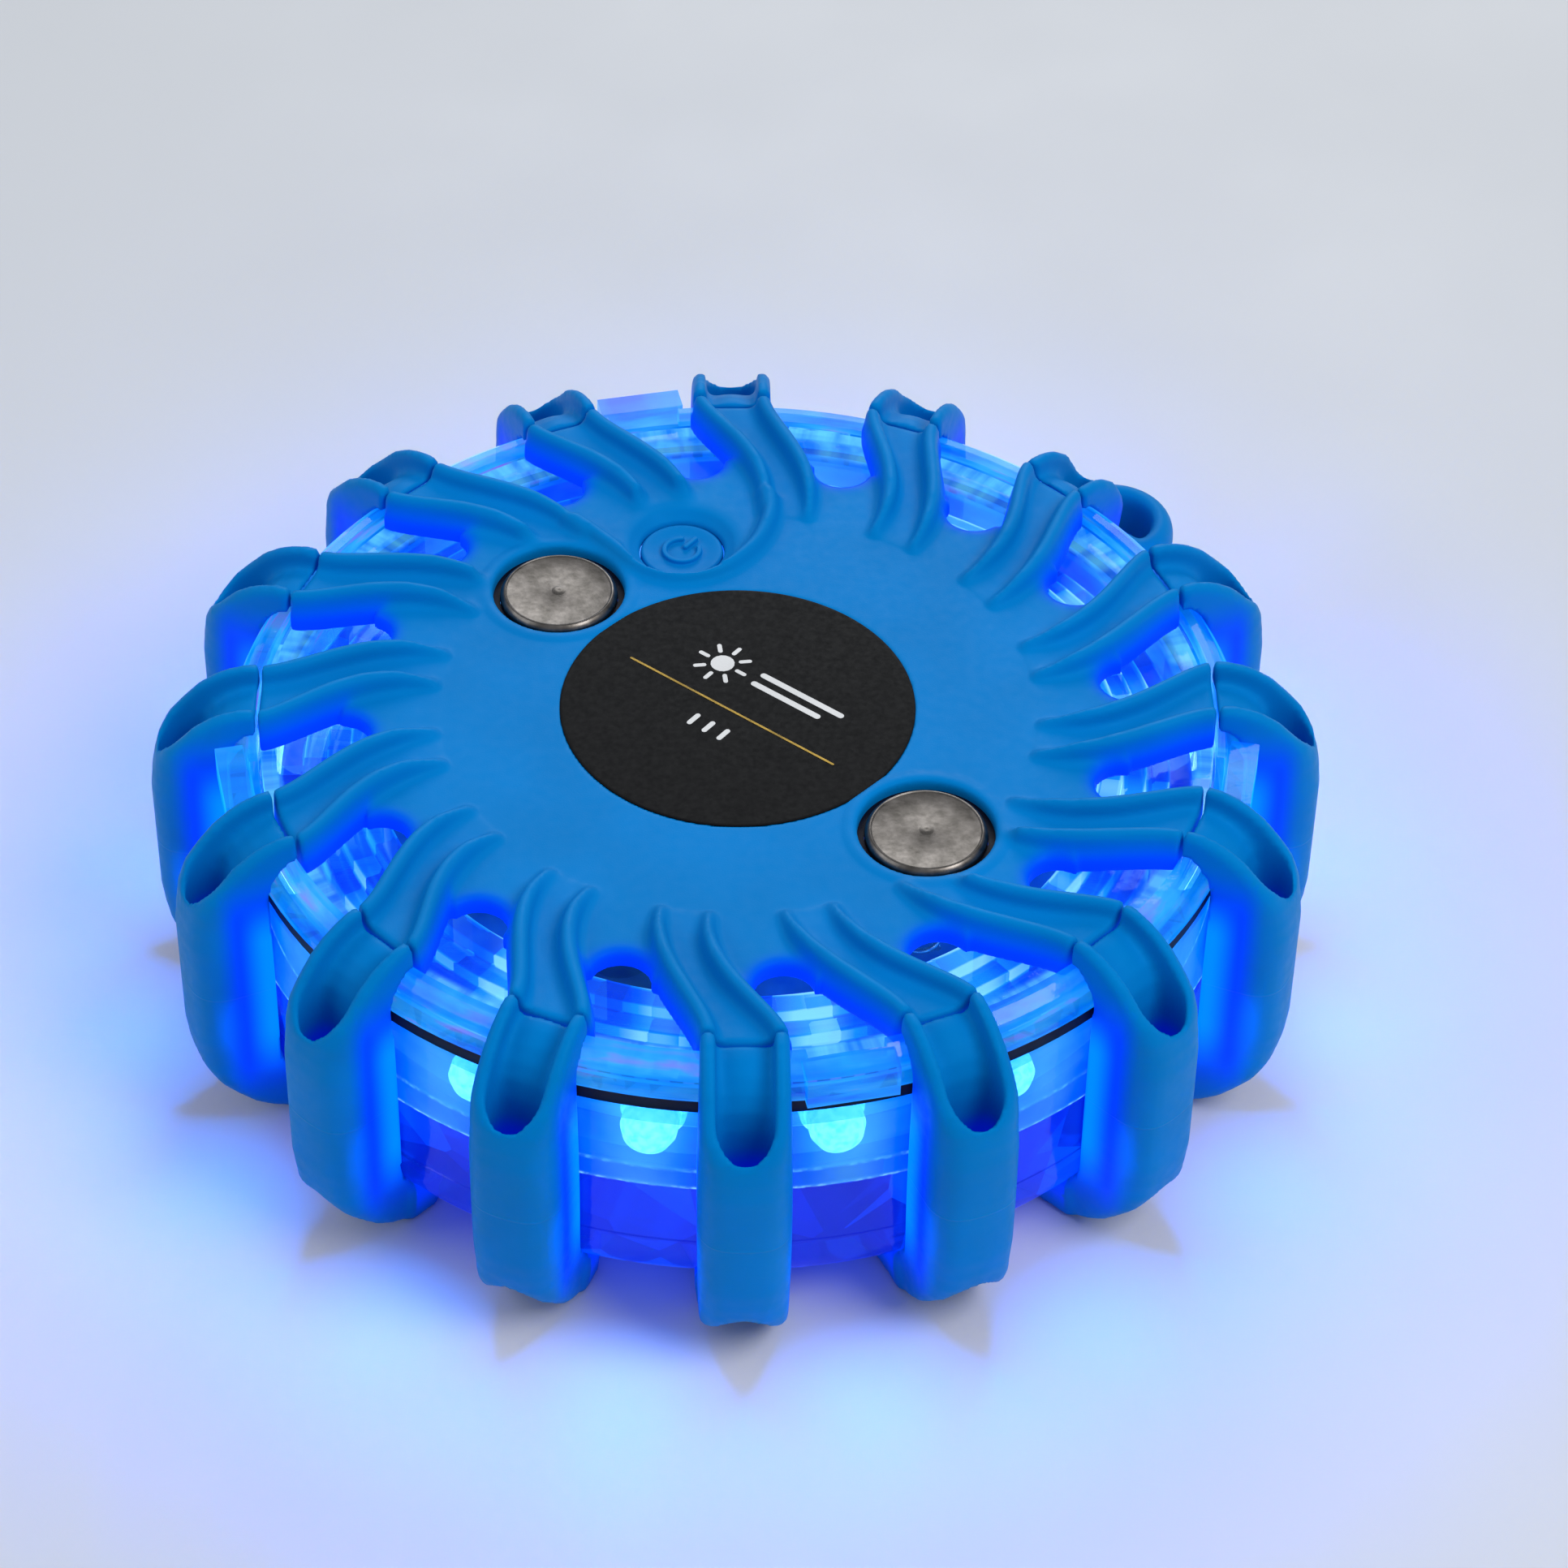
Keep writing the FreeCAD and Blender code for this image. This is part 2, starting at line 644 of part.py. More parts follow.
PRISM_FOOT = BOARD_TOP + " + sheet.reflector_height"
STEP = "(sheet.prism_outer - sheet.prism_inner) / 4"
RISE = "sheet.prism_height / 5"
keep(turned("prism_body", [
    ("sheet.prism_inner", PRISM_FOOT),
    ("sheet.prism_outer", PRISM_FOOT),
    ("sheet.prism_outer", f"{PRISM_FOOT} + {RISE} * 2"),
    (f"sheet.prism_outer - {STEP}", f"{PRISM_FOOT} + {RISE} * 2"),
    (f"sheet.prism_outer - {STEP}", f"{PRISM_FOOT} + {RISE} * 3"),
    (f"sheet.prism_outer - {STEP} * 2", f"{PRISM_FOOT} + {RISE} * 3"),
    (f"sheet.prism_outer - {STEP} * 2", f"{PRISM_FOOT} + {RISE} * 4"),
    (f"sheet.prism_outer - {STEP} * 3", f"{PRISM_FOOT} + {RISE} * 4"),
    (f"sheet.prism_outer - {STEP} * 3", f"{PRISM_FOOT} + {RISE} * 5"),
    ("sheet.prism_inner", f"{PRISM_FOOT} + {RISE} * 5"),
]), "prism_ring")

# parts soldered to the board
for spot, x, y in (("front", "-10.6", "-25.0"), ("side", "-25.5", "-8.5")):
    keep(cylinder(f"capacitor_{spot}_body", "sheet.capacitor_radius", "sheet.capacitor_height",
                  x, y, BOARD_TOP), f"capacitor_{spot}")
keep(cylinder("inductor_body", "sheet.inductor_radius", "sheet.inductor_height", "12.0", "8.0", BOARD_TOP),
     "inductor")
keep(block("charge_chip_body", "5.0", "4.0", "1.5", "-6.0", "4.0", BOARD_TOP), "charge_chip")
keep(block("driver_chip_body", "6.0", "5.0", "1.6", "4.0", "-8.0", BOARD_TOP), "driver_chip")

BUTTON_X = polar_x("sheet.button_ring", "sheet.button_turn")
BUTTON_Y = polar_y("sheet.button_ring", "sheet.button_turn")
SWITCH_TOP = BOARD_TOP + " + sheet.switch_height"
switch_blank = block("switch_blank", "sheet.switch_size", "sheet.switch_size", "sheet.switch_height",
                     BUTTON_X, BUTTON_Y, BOARD_TOP)
switch_bore = cylinder("switch_bore", "sheet.plunger_radius + sheet.fit_gap", "sheet.plunger_length + 0.2",
                       BUTTON_X, BUTTON_Y, SWITCH_TOP + " - 1.3")
keep(cut("switch_bored", switch_blank, switch_bore), "tact_switch")
keep(cylinder("plunger_body", "sheet.plunger_radius", "sheet.plunger_length", BUTTON_X, BUTTON_Y,
              SWITCH_TOP + " + sheet.plunger_reach - sheet.plunger_length"), "tact_plunger")


def make_spring(name, turn):
    """A coil spring that stands on the board under a contact pad."""
    height = value(f"{PLATE_BOTTOM} - ({BOARD_TOP})") - size("spring_wire") * 2 - 0.1
    coil = doc.addObject("Part::Helix", name + "_path")
    bind(coil, Radius="sheet.spring_radius", Pitch="sheet.spring_pitch")
    coil.Height = height
    rounds = doc.addObject("Part::Circle", name + "_wire")
    bind(rounds, Radius="sheet.spring_wire")
    rounds.Placement = FreeCAD.Placement(Vector(size("spring_radius"), 0, 0), Rotation(Vector(1, 0, 0), 90))
    doc.recompute()
    path = Part.Wire(coil.Shape.Edges)
    swept = path.makePipeShell([Part.Wire(rounds.Shape.Edges)], True, True)
    item = shaped(name + "_body", swept)
    place(item, polar_x("sheet.pad_ring", turn), polar_y("sheet.pad_ring", turn),
          BOARD_TOP + " + sheet.spring_wire")
    return item


keep(make_spring("spring_positive", "sheet.pad_turn"), "contact_spring_positive")
keep(make_spring("spring_negative", "(sheet.pad_turn + 180)"), "contact_spring_negative")

# ------------------------------------------------------------ battery and magnets
keep(block("cell_body", "sheet.cell_length", "sheet.cell_width", "sheet.cell_height", "0", "0",
           FLOOR_TOP), "battery_cell")
tray_outer = block("tray_outer", "sheet.cell_length + 2 * sheet.tray_wall",
                   "sheet.cell_width + 2 * sheet.tray_wall", "sheet.tray_height", "0", "0", FLOOR_TOP)
tray_inner = block("tray_inner", "sheet.cell_length", "sheet.cell_width", "sheet.tray_height + 2",
                   "0", "0", FLOOR_TOP + " - 1")
keep(cut("tray_frame", tray_outer, tray_inner), "battery_tray")
CELL_TOP = FLOOR_TOP + " + sheet.cell_height"
keep(block("foam_body", "sheet.cell_length - 10", "sheet.cell_width - 8",
           f"sheet.board_bottom - ({CELL_TOP})", "0", "0", CELL_TOP), "battery_foam")
TAB_HEIGHT = f"sheet.board_bottom - ({FLOOR_TOP}) - sheet.tray_height - 0.5"
for sign, side in (("positive", 1), ("negative", -1)):
    keep(block(f"tab_{sign}_body", "0.3", "5.0", TAB_HEIGHT, "sheet.cell_length / 2 + 0.15",
               f"{side * 8.0}", FLOOR_TOP + " + sheet.tray_height + 0.5"), f"battery_tab_{sign}")
for spot, side in (("front", -1), ("rear", 1)):
    keep(cylinder(f"magnet_{spot}_body", "sheet.magnet_radius", "sheet.magnet_height", "0",
                  f"{side} * sheet.magnet_ring", FLOOR_TOP), f"base_magnet_{spot}")

# ------------------------------------------------------------ cap
plate_turned = turned("plate_turned", [
    ("0", PLATE_BOTTOM),
    (CAP_RADIUS, PLATE_BOTTOM),
    (CAP_RADIUS, SKIN_BACK),
    ("0", SKIN_BACK),
])
tabs = [
    radial_block(f"tab_{i}", "sheet.tab_width", "sheet.ring_ledge + 0.9",
                 "sheet.ring_ledge + 0.9 + sheet.tab_height", "sheet.seam_radius - 1.0",
                 "sheet.seam_radius + sheet.tab_reach", turn - PITCH)
    for i, turn in enumerate(LUG_TURNS, start=1)
]
PAD_SIDES = (("positive", "sheet.pad_turn"), ("negative", "(sheet.pad_turn + 180)"))
DRILL_FOOT = PLATE_BOTTOM + " - 1"
plate_holes = [cylinder("plate_button_hole", "sheet.button_radius + 0.4", "10",
                        BUTTON_X, BUTTON_Y, DRILL_FOOT)]
cover_holes = [cylinder("cover_button_hole", "sheet.button_radius + 0.3", "10",
                        BUTTON_X, BUTTON_Y, DRILL_FOOT)]
for sign, turn in PAD_SIDES:
    x = polar_x("sheet.pad_ring", turn)
    y = polar_y("sheet.pad_ring", turn)
    plate_holes.append(cylinder(f"plate_hole_{sign}", "sheet.pad_stem_radius + sheet.fit_gap / 2", "10",
                                x, y, DRILL_FOOT))
    cover_holes.append(cylinder(f"cover_hole_{sign}", "sheet.pad_well_radius", "10", x, y, DRILL_FOOT))
plate_tabbed = fused("plate_tabbed", [plate_turned] + tabs)
keep(cut("plate_drilled", plate_tabbed, fused("plate_holes", plate_holes)), "cap_plate")

cover_disc = cylinder("cover_disc", CAP_RADIUS, "sheet.skin_thickness", z=SKIN_BACK)
cover_ribs = shaped("cover_ribs", top_ribs(value(CAP_RADIUS)))
cover_windows = shaped("cover_windows", around(
    window(value(SKIN_BACK) - 1.0, size("overall_height") + 1.0, size("seam_radius") + 2.0), WINDOW_TURNS))
label_recess = cylinder("label_recess", "sheet.label_radius", "sheet.label_thickness + 1",
                        z=TOP_FACE + " - sheet.label_thickness")
cover_blank = fused("cover_blank", [cover_disc, cover_ribs])
cover_cuts = fused("cover_cuts", cover_holes + [label_recess])
cover_open = cut("cover_open", cover_blank, cover_windows)
keep(cut("cover_drilled", cover_open, cover_cuts), "top_cover")

keep(cylinder("label_body", "sheet.label_radius", "sheet.label_thickness",
              z=TOP_FACE + " - sheet.label_thickness"), "label_disc")

for sign, turn in PAD_SIDES:
    x = polar_x("sheet.pad_ring", turn)
    y = polar_y("sheet.pad_ring", turn)
    pad = turned(f"pad_{sign}_body", [
        ("0", PLATE_BOTTOM),
        ("sheet.pad_stem_radius", PLATE_BOTTOM),
        ("sheet.pad_stem_radius", SKIN_BACK),
        ("sheet.pad_radius", SKIN_BACK),
        ("sheet.pad_radius", SKIN_BACK + " + sheet.pad_height"),
        ("0", SKIN_BACK + " + sheet.pad_height"),
    ])
    place(pad, x, y, "0")
    keep(pad, f"contact_pad_{sign}")
    seal = turned(f"pad_seal_{sign}_body", [
        ("sheet.pad_radius", SKIN_BACK),
        ("sheet.pad_well_radius", SKIN_BACK),
        ("sheet.pad_well_radius", SKIN_BACK + " + 0.9"),
        ("sheet.pad_radius", SKIN_BACK + " + 0.9"),
    ])
    place(seal, x, y, "0")
    keep(seal, f"pad_seal_{sign}")

# ------------------------------------------------------------ power button
BUTTON_TOP = TOP_FACE + " - sheet.button_drop"
BUTTON_FOOT = BUTTON_TOP + " - sheet.button_height"
keep(cylinder("button_body", "sheet.button_radius", "sheet.button_height", BUTTON_X, BUTTON_Y, BUTTON_FOOT),
     "power_button")
# at the end of its travel the stem stops a fit gap above the switch's plunger
STEM_FOOT = SWITCH_TOP + " + sheet.plunger_reach + sheet.button_travel + sheet.fit_gap"
STEM_HEIGHT = f"{BUTTON_FOOT} - ({STEM_FOOT})"
keep(cylinder("stem_body", "sheet.stem_radius", STEM_HEIGHT, BUTTON_X, BUTTON_Y, STEM_FOOT), "button_stem")

doc.recompute()

# ------------------------------------------------------------ checks and files
for item in doc.Objects:
    if {"Invalid", "Error"} & set(item.State):
        raise ValueError(f"{item.Name} is {item.State}")
for item in nodes:
    if item.Shape.isNull() or not item.Shape.isValid():
        raise ValueError(f"{item.Label} has no valid shape")

os.makedirs("parts", exist_ok=True)
for item in nodes:
    item.Shape.exportStep(f"parts/{item.Label}.step")
print(len(nodes), "sub-parts written")
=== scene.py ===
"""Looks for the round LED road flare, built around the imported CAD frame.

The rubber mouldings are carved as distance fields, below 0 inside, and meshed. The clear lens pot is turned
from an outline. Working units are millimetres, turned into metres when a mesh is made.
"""
import json
import math

import bmesh
import bpy
import numpy as np
import openvdb as vdb
from mathutils import Matrix, Vector


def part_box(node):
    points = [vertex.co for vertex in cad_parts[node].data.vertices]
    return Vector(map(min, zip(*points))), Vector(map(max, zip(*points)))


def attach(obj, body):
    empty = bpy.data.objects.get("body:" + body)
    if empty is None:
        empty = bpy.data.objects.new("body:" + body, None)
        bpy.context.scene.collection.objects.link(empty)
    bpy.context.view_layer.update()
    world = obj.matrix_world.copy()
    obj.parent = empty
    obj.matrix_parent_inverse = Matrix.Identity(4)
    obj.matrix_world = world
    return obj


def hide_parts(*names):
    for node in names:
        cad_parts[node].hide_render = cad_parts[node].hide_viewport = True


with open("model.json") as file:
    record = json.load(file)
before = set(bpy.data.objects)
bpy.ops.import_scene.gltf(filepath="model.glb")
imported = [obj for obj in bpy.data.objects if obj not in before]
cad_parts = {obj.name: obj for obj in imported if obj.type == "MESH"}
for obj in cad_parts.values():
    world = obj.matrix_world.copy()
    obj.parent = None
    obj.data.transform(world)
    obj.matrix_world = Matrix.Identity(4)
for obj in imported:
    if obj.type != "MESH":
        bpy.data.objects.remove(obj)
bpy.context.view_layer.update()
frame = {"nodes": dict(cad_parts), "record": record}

MM = 0.001
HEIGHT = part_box("bumper")[1].z / MM
MIDDLE = HEIGHT / 2
LAMPS = 16
PITCH = math.radians(22.5)
SHORT_POST = math.radians(45.0)
SEAM = 43.3
CAP_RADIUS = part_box("cap_plate")[1].x / MM
COVER_THICK = 1.9
SKIN_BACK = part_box("label_disc")[1].z / MM - COVER_THICK
TOP_FACE = SKIN_BACK + COVER_THICK
LENS_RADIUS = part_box("lower_lens")[1].x / MM
LENS_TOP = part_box("lower_lens")[1].z / MM
LENS_BOTTOM = 4.2
STEP_LINE = 16.5
LOW_LINE = 9.6
LAMP_HEIGHT = 18.5
FAR = 1e9


def centre_of(node):
    """The middle of a CAD node in plan, in millimetres."""
    low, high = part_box(node)
    return (low.x + high.x) / 2 / MM, (low.y + high.y) / 2 / MM


def heights_of(node):
    """The lowest and highest points of a CAD node, in millimetres."""
    low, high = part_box(node)
    return low.z / MM, high.z / MM


BUTTON_AT = centre_of("power_button")
PADS = {"positive": centre_of("contact_pad_positive"), "negative": centre_of("contact_pad_negative")}


# ------------------------------------------------------------------ fields
def ramp(low, high, x):
    """0 below low, 1 above high and smooth between; low may be above high."""
    part = np.clip((x - low) / (high - low), 0, 1)
    return part * part * (3 - 2 * part)


def both(a, b, soft):
    """Where both fields are inside, with a softened edge."""
    near = np.maximum(soft - np.abs(a - b), 0) / soft
    return np.maximum(a, b) + near * near * soft / 4


def either(a, b, soft):
    """Where one of the fields is inside, with a softened corner."""
    return -both(-a, -b, soft)


def fold(angle):
    """An angle measured from the nearest post."""
    return (angle + PITCH / 2) % PITCH - PITCH / 2


SWIRL_ANGLE = np.radians(-10.3)
SWIRL_REACH = 16.3
SWIRL_EASE = 0.8


def swirl(r):
    """How far the fins have swung clockwise at a radius."""
    part = np.clip((SEAM - r) / SWIRL_REACH, 0, 1) ** SWIRL_EASE
    return SWIRL_ANGLE * (1 - np.cos(np.pi * part)) / 2


class Outline:
    """Distance to a closed outline of (across, up) corners, looked up from a fine table."""

    def __init__(self, corners, step=0.1, margin=4.0):
        points = np.array(corners, np.float32)
        self.step = step
        self.low = points.min(0) - margin
        count = np.ceil((points.max(0) + margin - self.low) / step).astype(int) + 1
        u, v = np.meshgrid(self.low[0] + step * np.arange(count[0]),
                           self.low[1] + step * np.arange(count[1]), indexing="ij")
        near = np.full(u.shape, FAR, np.float32)
        inside = np.zeros(u.shape, bool)
        for (au, av), (bu, bv) in zip(points, np.roll(points, -1, axis=0)):
            du, dv = bu - au, bv - av
            along = np.clip(((u - au) * du + (v - av) * dv) / max(du * du + dv * dv, 1e-9), 0, 1)
            near = np.minimum(near, np.hypot(u - au - along * du, v - av - along * dv))
            if dv != 0:
                crosses = (av > v) != (bv > v)
                inside ^= crosses & (u < au + (v - av) * du / dv)
        self.table = np.where(inside, -near, near).astype(np.float32)

    def at(self, u, v):
        """The distance at each place, blended from the four nearest entries."""
        fu = np.clip((u - self.low[0]) / self.step, 0, self.table.shape[0] - 1.001)
        fv = np.clip((v - self.low[1]) / self.step, 0, self.table.shape[1] - 1.001)
        iu = fu.astype(np.int32)
        iv = fv.astype(np.int32)
        fu = fu - iu
        fv = fv - iv
        t = self.table
        lower = t[iu, iv] * (1 - fu) + t[iu + 1, iv] * fu
        upper = t[iu, iv + 1] * (1 - fu) + t[iu + 1, iv + 1] * fu
        return lower * (1 - fv) + upper * fv


def smooth_path(points, per_span=8):
    """A rounded line through points, as many short steps."""
    p = np.array(points, float)
    p = np.vstack([2 * p[0] - p[1], p, 2 * p[-1] - p[-2]])
    out = []
    for a, b, c, d in zip(p, p[1:], p[2:], p[3:]):
        for t in np.arange(per_span) / per_span:
            out.append(0.5 * (2 * b + (c - a) * t + (2 * a - 5 * b + 4 * c - d) * t ** 2
                              + (3 * b - a - 3 * c + d) * t ** 3))
    out.append(p[-2])
    return np.array(out, np.float32)


def path_distance(x, y, path):
    """Distance in plan to a line of points."""
    near = np.full(x.shape, FAR, np.float32)
    for (ax, ay), (bx, by) in zip(path[:, :2], path[1:, :2]):
        dx, dy = bx - ax, by - ay
        along = np.clip(((x - ax) * dx + (y - ay) * dy) / (dx * dx + dy * dy), 0, 1)
        near = np.minimum(near, (x - ax - along * dx) ** 2 + (y - ay - along * dy) ** 2)
    return np.sqrt(near)


# ------------------------------------------------------------------ rubber skin with swirled fins
# each list gives a size at these distances from the middle
FIN_RADII = [26, 28, 31, 34, 37, 40, 42.5, 44]
RIB_OFFSET = [2.05, 2.1, 2.15, 2.25, 2.4, 2.7, 3.0, 3.15]
RIB_CREST = [30.3, 31.7, 32.5, 32.85, 32.95, 32.95, 32.95, 32.95]
RIB_THICK = [0.1, 0.32, 0.52, 0.6, 0.62, 0.62, 0.62, 0.62]
FIN_HALF = [3.0, 3.2, 3.5, 3.75, 3.9, 4.0, 4.1, 4.1]
CHANNEL_FLOOR = [30.6, 30.65, 30.75, 30.9, 31, 31.1, 31.25, 31.3]
RIB_OUTER_DRAFT = 0.17
RIB_INNER_DRAFT = 0.12
RIBS_END = 25.0
RIBS_FULL = 27.5
RIB_ROUND = 0.5
CREST_ROUND = 1.0
RIB_FOOT = 0.9
CHANNEL_ROUND = 0.4
CHANNEL_FOOT = 0.5
WINDOW_END = 35.9
WINDOW_ROUND = 2.65
WINDOW_EDGE = 0.7


def along_fin(r, values):
    """A size from one of the lists above, at each radius."""
    return np.interp(r, FIN_RADII, values).astype(np.float32)


def finned_skin(x, y, z, crest_limit=None):
    """The skin with two ridges along each fin, and the windows between the fins cut through."""
    r = np.hypot(x, y)
    angle = np.arctan2(y, x)
    # all that depends only on the radius is looked up from one table
    radii = np.linspace(0, 60, 1201)
    lean = np.gradient(swirl(radii), radii) * radii
    upright = np.interp(r, radii, 1 / np.sqrt(1 + lean ** 2)).astype(np.float32)
    turned = np.abs(fold(angle - np.interp(r, radii, swirl(radii)).astype(np.float32)))
    across = r * turned
    crest = along_fin(r, RIB_CREST)
    if crest_limit is not None:
        crest = np.minimum(crest, crest_limit)
    depth = np.maximum(crest - z, 0)
    offset = (across - along_fin(r, RIB_OFFSET)) * upright
    thick = along_fin(r, RIB_THICK)
    flank = offset - thick - RIB_OUTER_DRAFT * depth
    inner = -offset - thick - RIB_INNER_DRAFT * depth
    rib = both(both(flank, inner, RIB_ROUND), z - crest, CREST_ROUND)
    # ribs and channels fade out on the flat middle
    inward = 3 * ramp(RIBS_FULL, RIBS_END, r)
    rib = rib + inward
    channel = both(offset, z - along_fin(r, CHANNEL_FLOOR), CHANNEL_ROUND) + inward
    solid = either(either(z - TOP_FACE, channel, CHANNEL_FOOT), rib, RIB_FOOT)
    return both(solid, -window_field(r, angle, turned, upright), WINDOW_EDGE)


def window_field(r, angle, turned, upright=1.0):
    """Below 0 inside a window: a strip between two fins with a round inner end."""
    half = r * (PITCH / 2) - along_fin(r, FIN_HALF)
    strip = np.maximum((r * (PITCH / 2 - turned) - half) * upright, WINDOW_END - r)
    end_turn = fold(angle - float(swirl(np.array(WINDOW_END))) - PITCH / 2)
    end = np.hypot(r * np.cos(end_turn) - WINDOW_END, r * np.sin(end_turn)) - WINDOW_ROUND
    return np.minimum(strip, end)


# ------------------------------------------------------------------ top cover
RIDGE = smooth_path([
    (-20.5, 28.0), (-16.6, 26.4), (-14.2, 24.9), (-11.6, 22.3), (-8.8, 19.3), (-5.2, 17.9), (-1.4, 18.9),
    (1.7, 22.0), (3.2, 25.6), (3.4, 28.7), (2.8, 31.4), (1.9, 34.6),
])
RIDGE_RISE = 1.25
RIDGE_EXTRA_RISE = 0.45
RIDGE_HALF = 0.55
RIDGE_DRAFT = 0.22
RIDGE_ROUND = 0.9
RIDGE_FADES = (29.5, 32.5)
RIDGE_CLIMBS = (20, 29)
BUTTON_HOLE = 4.02
BUTTON_DISH = 5.6
BUTTON_DISH_DEPTH = 0.85
BUTTON_CLEAR = 6.4
PAD_HOLE = 6.12
PAD_LIP = 6.75
PAD_LIP_HALF = 0.5
PAD_LIP_RISE = 0.12
PAD_CLEAR = 6.3
LABEL_POCKET = 15.9
LABEL_THICK = 0.5


def cover_field(x, y, z):
    """The top cover: finned skin, ridge round the button, dish, pad holes and label pocket."""
    button = np.hypot(x - BUTTON_AT[0], y - BUTTON_AT[1])
    # ribs run down to the flat as they near a pad or the button
    limit = np.full(x.shape, 99.0, np.float32)
    for px, py in PADS.values():
        limit = np.minimum(limit, TOP_FACE - 0.4 + 1.1 * (np.hypot(x - px, y - py) - PAD_CLEAR))
    limit = np.minimum(limit, TOP_FACE + 1.5 * (button - BUTTON_CLEAR))
    body = finned_skin(x, y, z, limit)
    # the ridge that runs from one fin round the button into the next
    ridge = path_distance(x[:, :, :1], y[:, :, :1], RIDGE)
    ends = ramp(RIDGE_FADES[1], RIDGE_FADES[0], np.hypot(x, y)[:, :, :1])
    height = TOP_FACE + RIDGE_RISE + RIDGE_EXTRA_RISE * ramp(*RIDGE_CLIMBS, y[:, :, :1])
    sides = ridge - RIDGE_HALF - RIDGE_DRAFT * np.maximum(height - z, 0)
    ridge = both(sides, z - height, RIDGE_ROUND) + 3 * (1 - ends)
    body = either(body, ridge, RIDGE_ROUND)
    # dish and hole for the button
    dish = z - (TOP_FACE - BUTTON_DISH_DEPTH * ramp(BUTTON_DISH - 0.1, 4.0, button))
    body = both(body, either(-(button - BUTTON_DISH), dish, 0.1), 0.3)
    body = both(body, BUTTON_HOLE - button, 0.3)
    for px, py in PADS.values():
        near = np.hypot(x - px, y - py)
        rim = both(np.abs(near - PAD_LIP) - PAD_LIP_HALF, z - TOP_FACE - PAD_LIP_RISE, 0.5)
        lip = either(body, rim, 0.5)
        body = both(lip, PAD_HOLE - near, 0.35)
    r = np.hypot(x, y)
    body = both(body, -both(r - LABEL_POCKET, TOP_FACE - LABEL_THICK - z, 0.05), 0.12)
    body = both(body, r - CAP_RADIUS, 0.35)
    return both(body, SKIN_BACK - z, 0.25)


# ------------------------------------------------------------------ bumper
def mirrored(half):
    """An outline's upper half, (across, up), closed by its reflection at mid-height."""
    return half + [(u, HEIGHT - v) for u, v in reversed(half)]


# outlines in (distance from the middle, height); the posts' outer faces, and the scoops in their ends
POST_CREST = [(43.45, 32.98), (44.65, 32.95), (46.2, 32.5), (47.3, 32), (48.9, 30.9), (50.3, 29.4),
              (51.6, 27.9), (52.6, 26.2), (53.25, 24.3), (53.48, 22.4)]
SHORT_CREST = [(43.45, 32.7), (45.2, 32.5), (46.8, 31.9), (48.4, 30.6), (49.4, 28.9), (50.0, 27.4),
               (50.3, 25.6)]
POCKET = [(42.4, 34.5), (42.4, 31.3), (43.5, 31.25), (44.8, 31.05), (46.2, 30.4), (47.3, 29.4), (48.1, 28),
          (48.5, 26), (48.7, 22), (48.9, 18.6), (49.6, 17.4), (50.6, 17.4), (51.3, 18.4), (51.9, 21.5),
          (52.55, 24.9), (53.6, 28), (53.6, 34.5)]
SHORT_POCKET = [(42.4, 34.5), (42.4, 31.2), (43.5, 31.1), (44.8, 30.8), (46.0, 30), (46.9, 28.6),
                (47.3, 26.4), (47.5, 21.5), (48.1, 20.6), (48.7, 21.4), (49.2, 24.9), (50.2, 28.5),
                (50.2, 34.5)]
CLEAR_BODY = [(0, 4.2), (43.2, 4.2), (44.9, 4.9), (46.0, 6.2), (46.34, 8.0), (46.34, 27.3), (46.0, 28.5),
              (45.1, 29.7), (44.2, 30.5), (43.3, 30.55), (0, 30.55)]
POST_HALF = 3.72
POST_BELLY = 0.33
POCKET_HALF = 2.62
POCKET_TAPER = 0.35
POCKET_OUTER_END = 49.9
POCKET_DISH = 0.09
POCKET_EDGE = 0.75
FACE_BOW = 0.05
BOW_SHIFT = 10
BOW_SHIFT_AT = (7.0, 11.5)
END_EDGE = 0.9
BELLY_EDGE = 1.5
BELLY_EDGE_AT = (7.5, 13.0)
EYELET_AT = 52.6
EYELET_OUTER = 6.0
EYELET_HOLE = 3.7
EYELET_HALF_HEIGHT = 6.0
EYELET_ROOT = 46.6
LOW_SKIN_RADIUS = 45.5


def post_field(x, y, z, crest, pocket):
    """Posts along +X: rounded outer face, two thin walls and a scoop at each end."""
    half = POST_HALF + POST_BELLY * (1 - ((z - MIDDLE) / MIDDLE) ** 2)
    level = np.abs(z - MIDDLE)
    # the outer face is bowed across, and stands out a little more towards the ends
    bow = FACE_BOW * (y * y - BOW_SHIFT * ramp(*BOW_SHIFT_AT, level))
    profile = crest.at(x + bow, z)
    edge = END_EDGE + BELLY_EDGE * ramp(BELLY_EDGE_AT[1], BELLY_EDGE_AT[0], level)
    near = np.maximum(edge - np.abs(np.abs(y) - half - profile), 0) / edge
    post = np.maximum(np.abs(y) - half, profile) + near * near * edge / 4
    up = MIDDLE + level
    hollow = pocket.at(x, up + POCKET_DISH * y * y * ramp(49.0, 46.0, x))
    width = POCKET_HALF - POCKET_TAPER * ramp(27, 18, up)
    hollow = both(hollow, np.abs(y) - width, 1.5)
    outer_end = np.hypot(np.maximum(x - POCKET_OUTER_END, 0), y) - POCKET_HALF
    hollow = both(hollow, outer_end, 0.6)
    return both(post, -hollow, POCKET_EDGE)


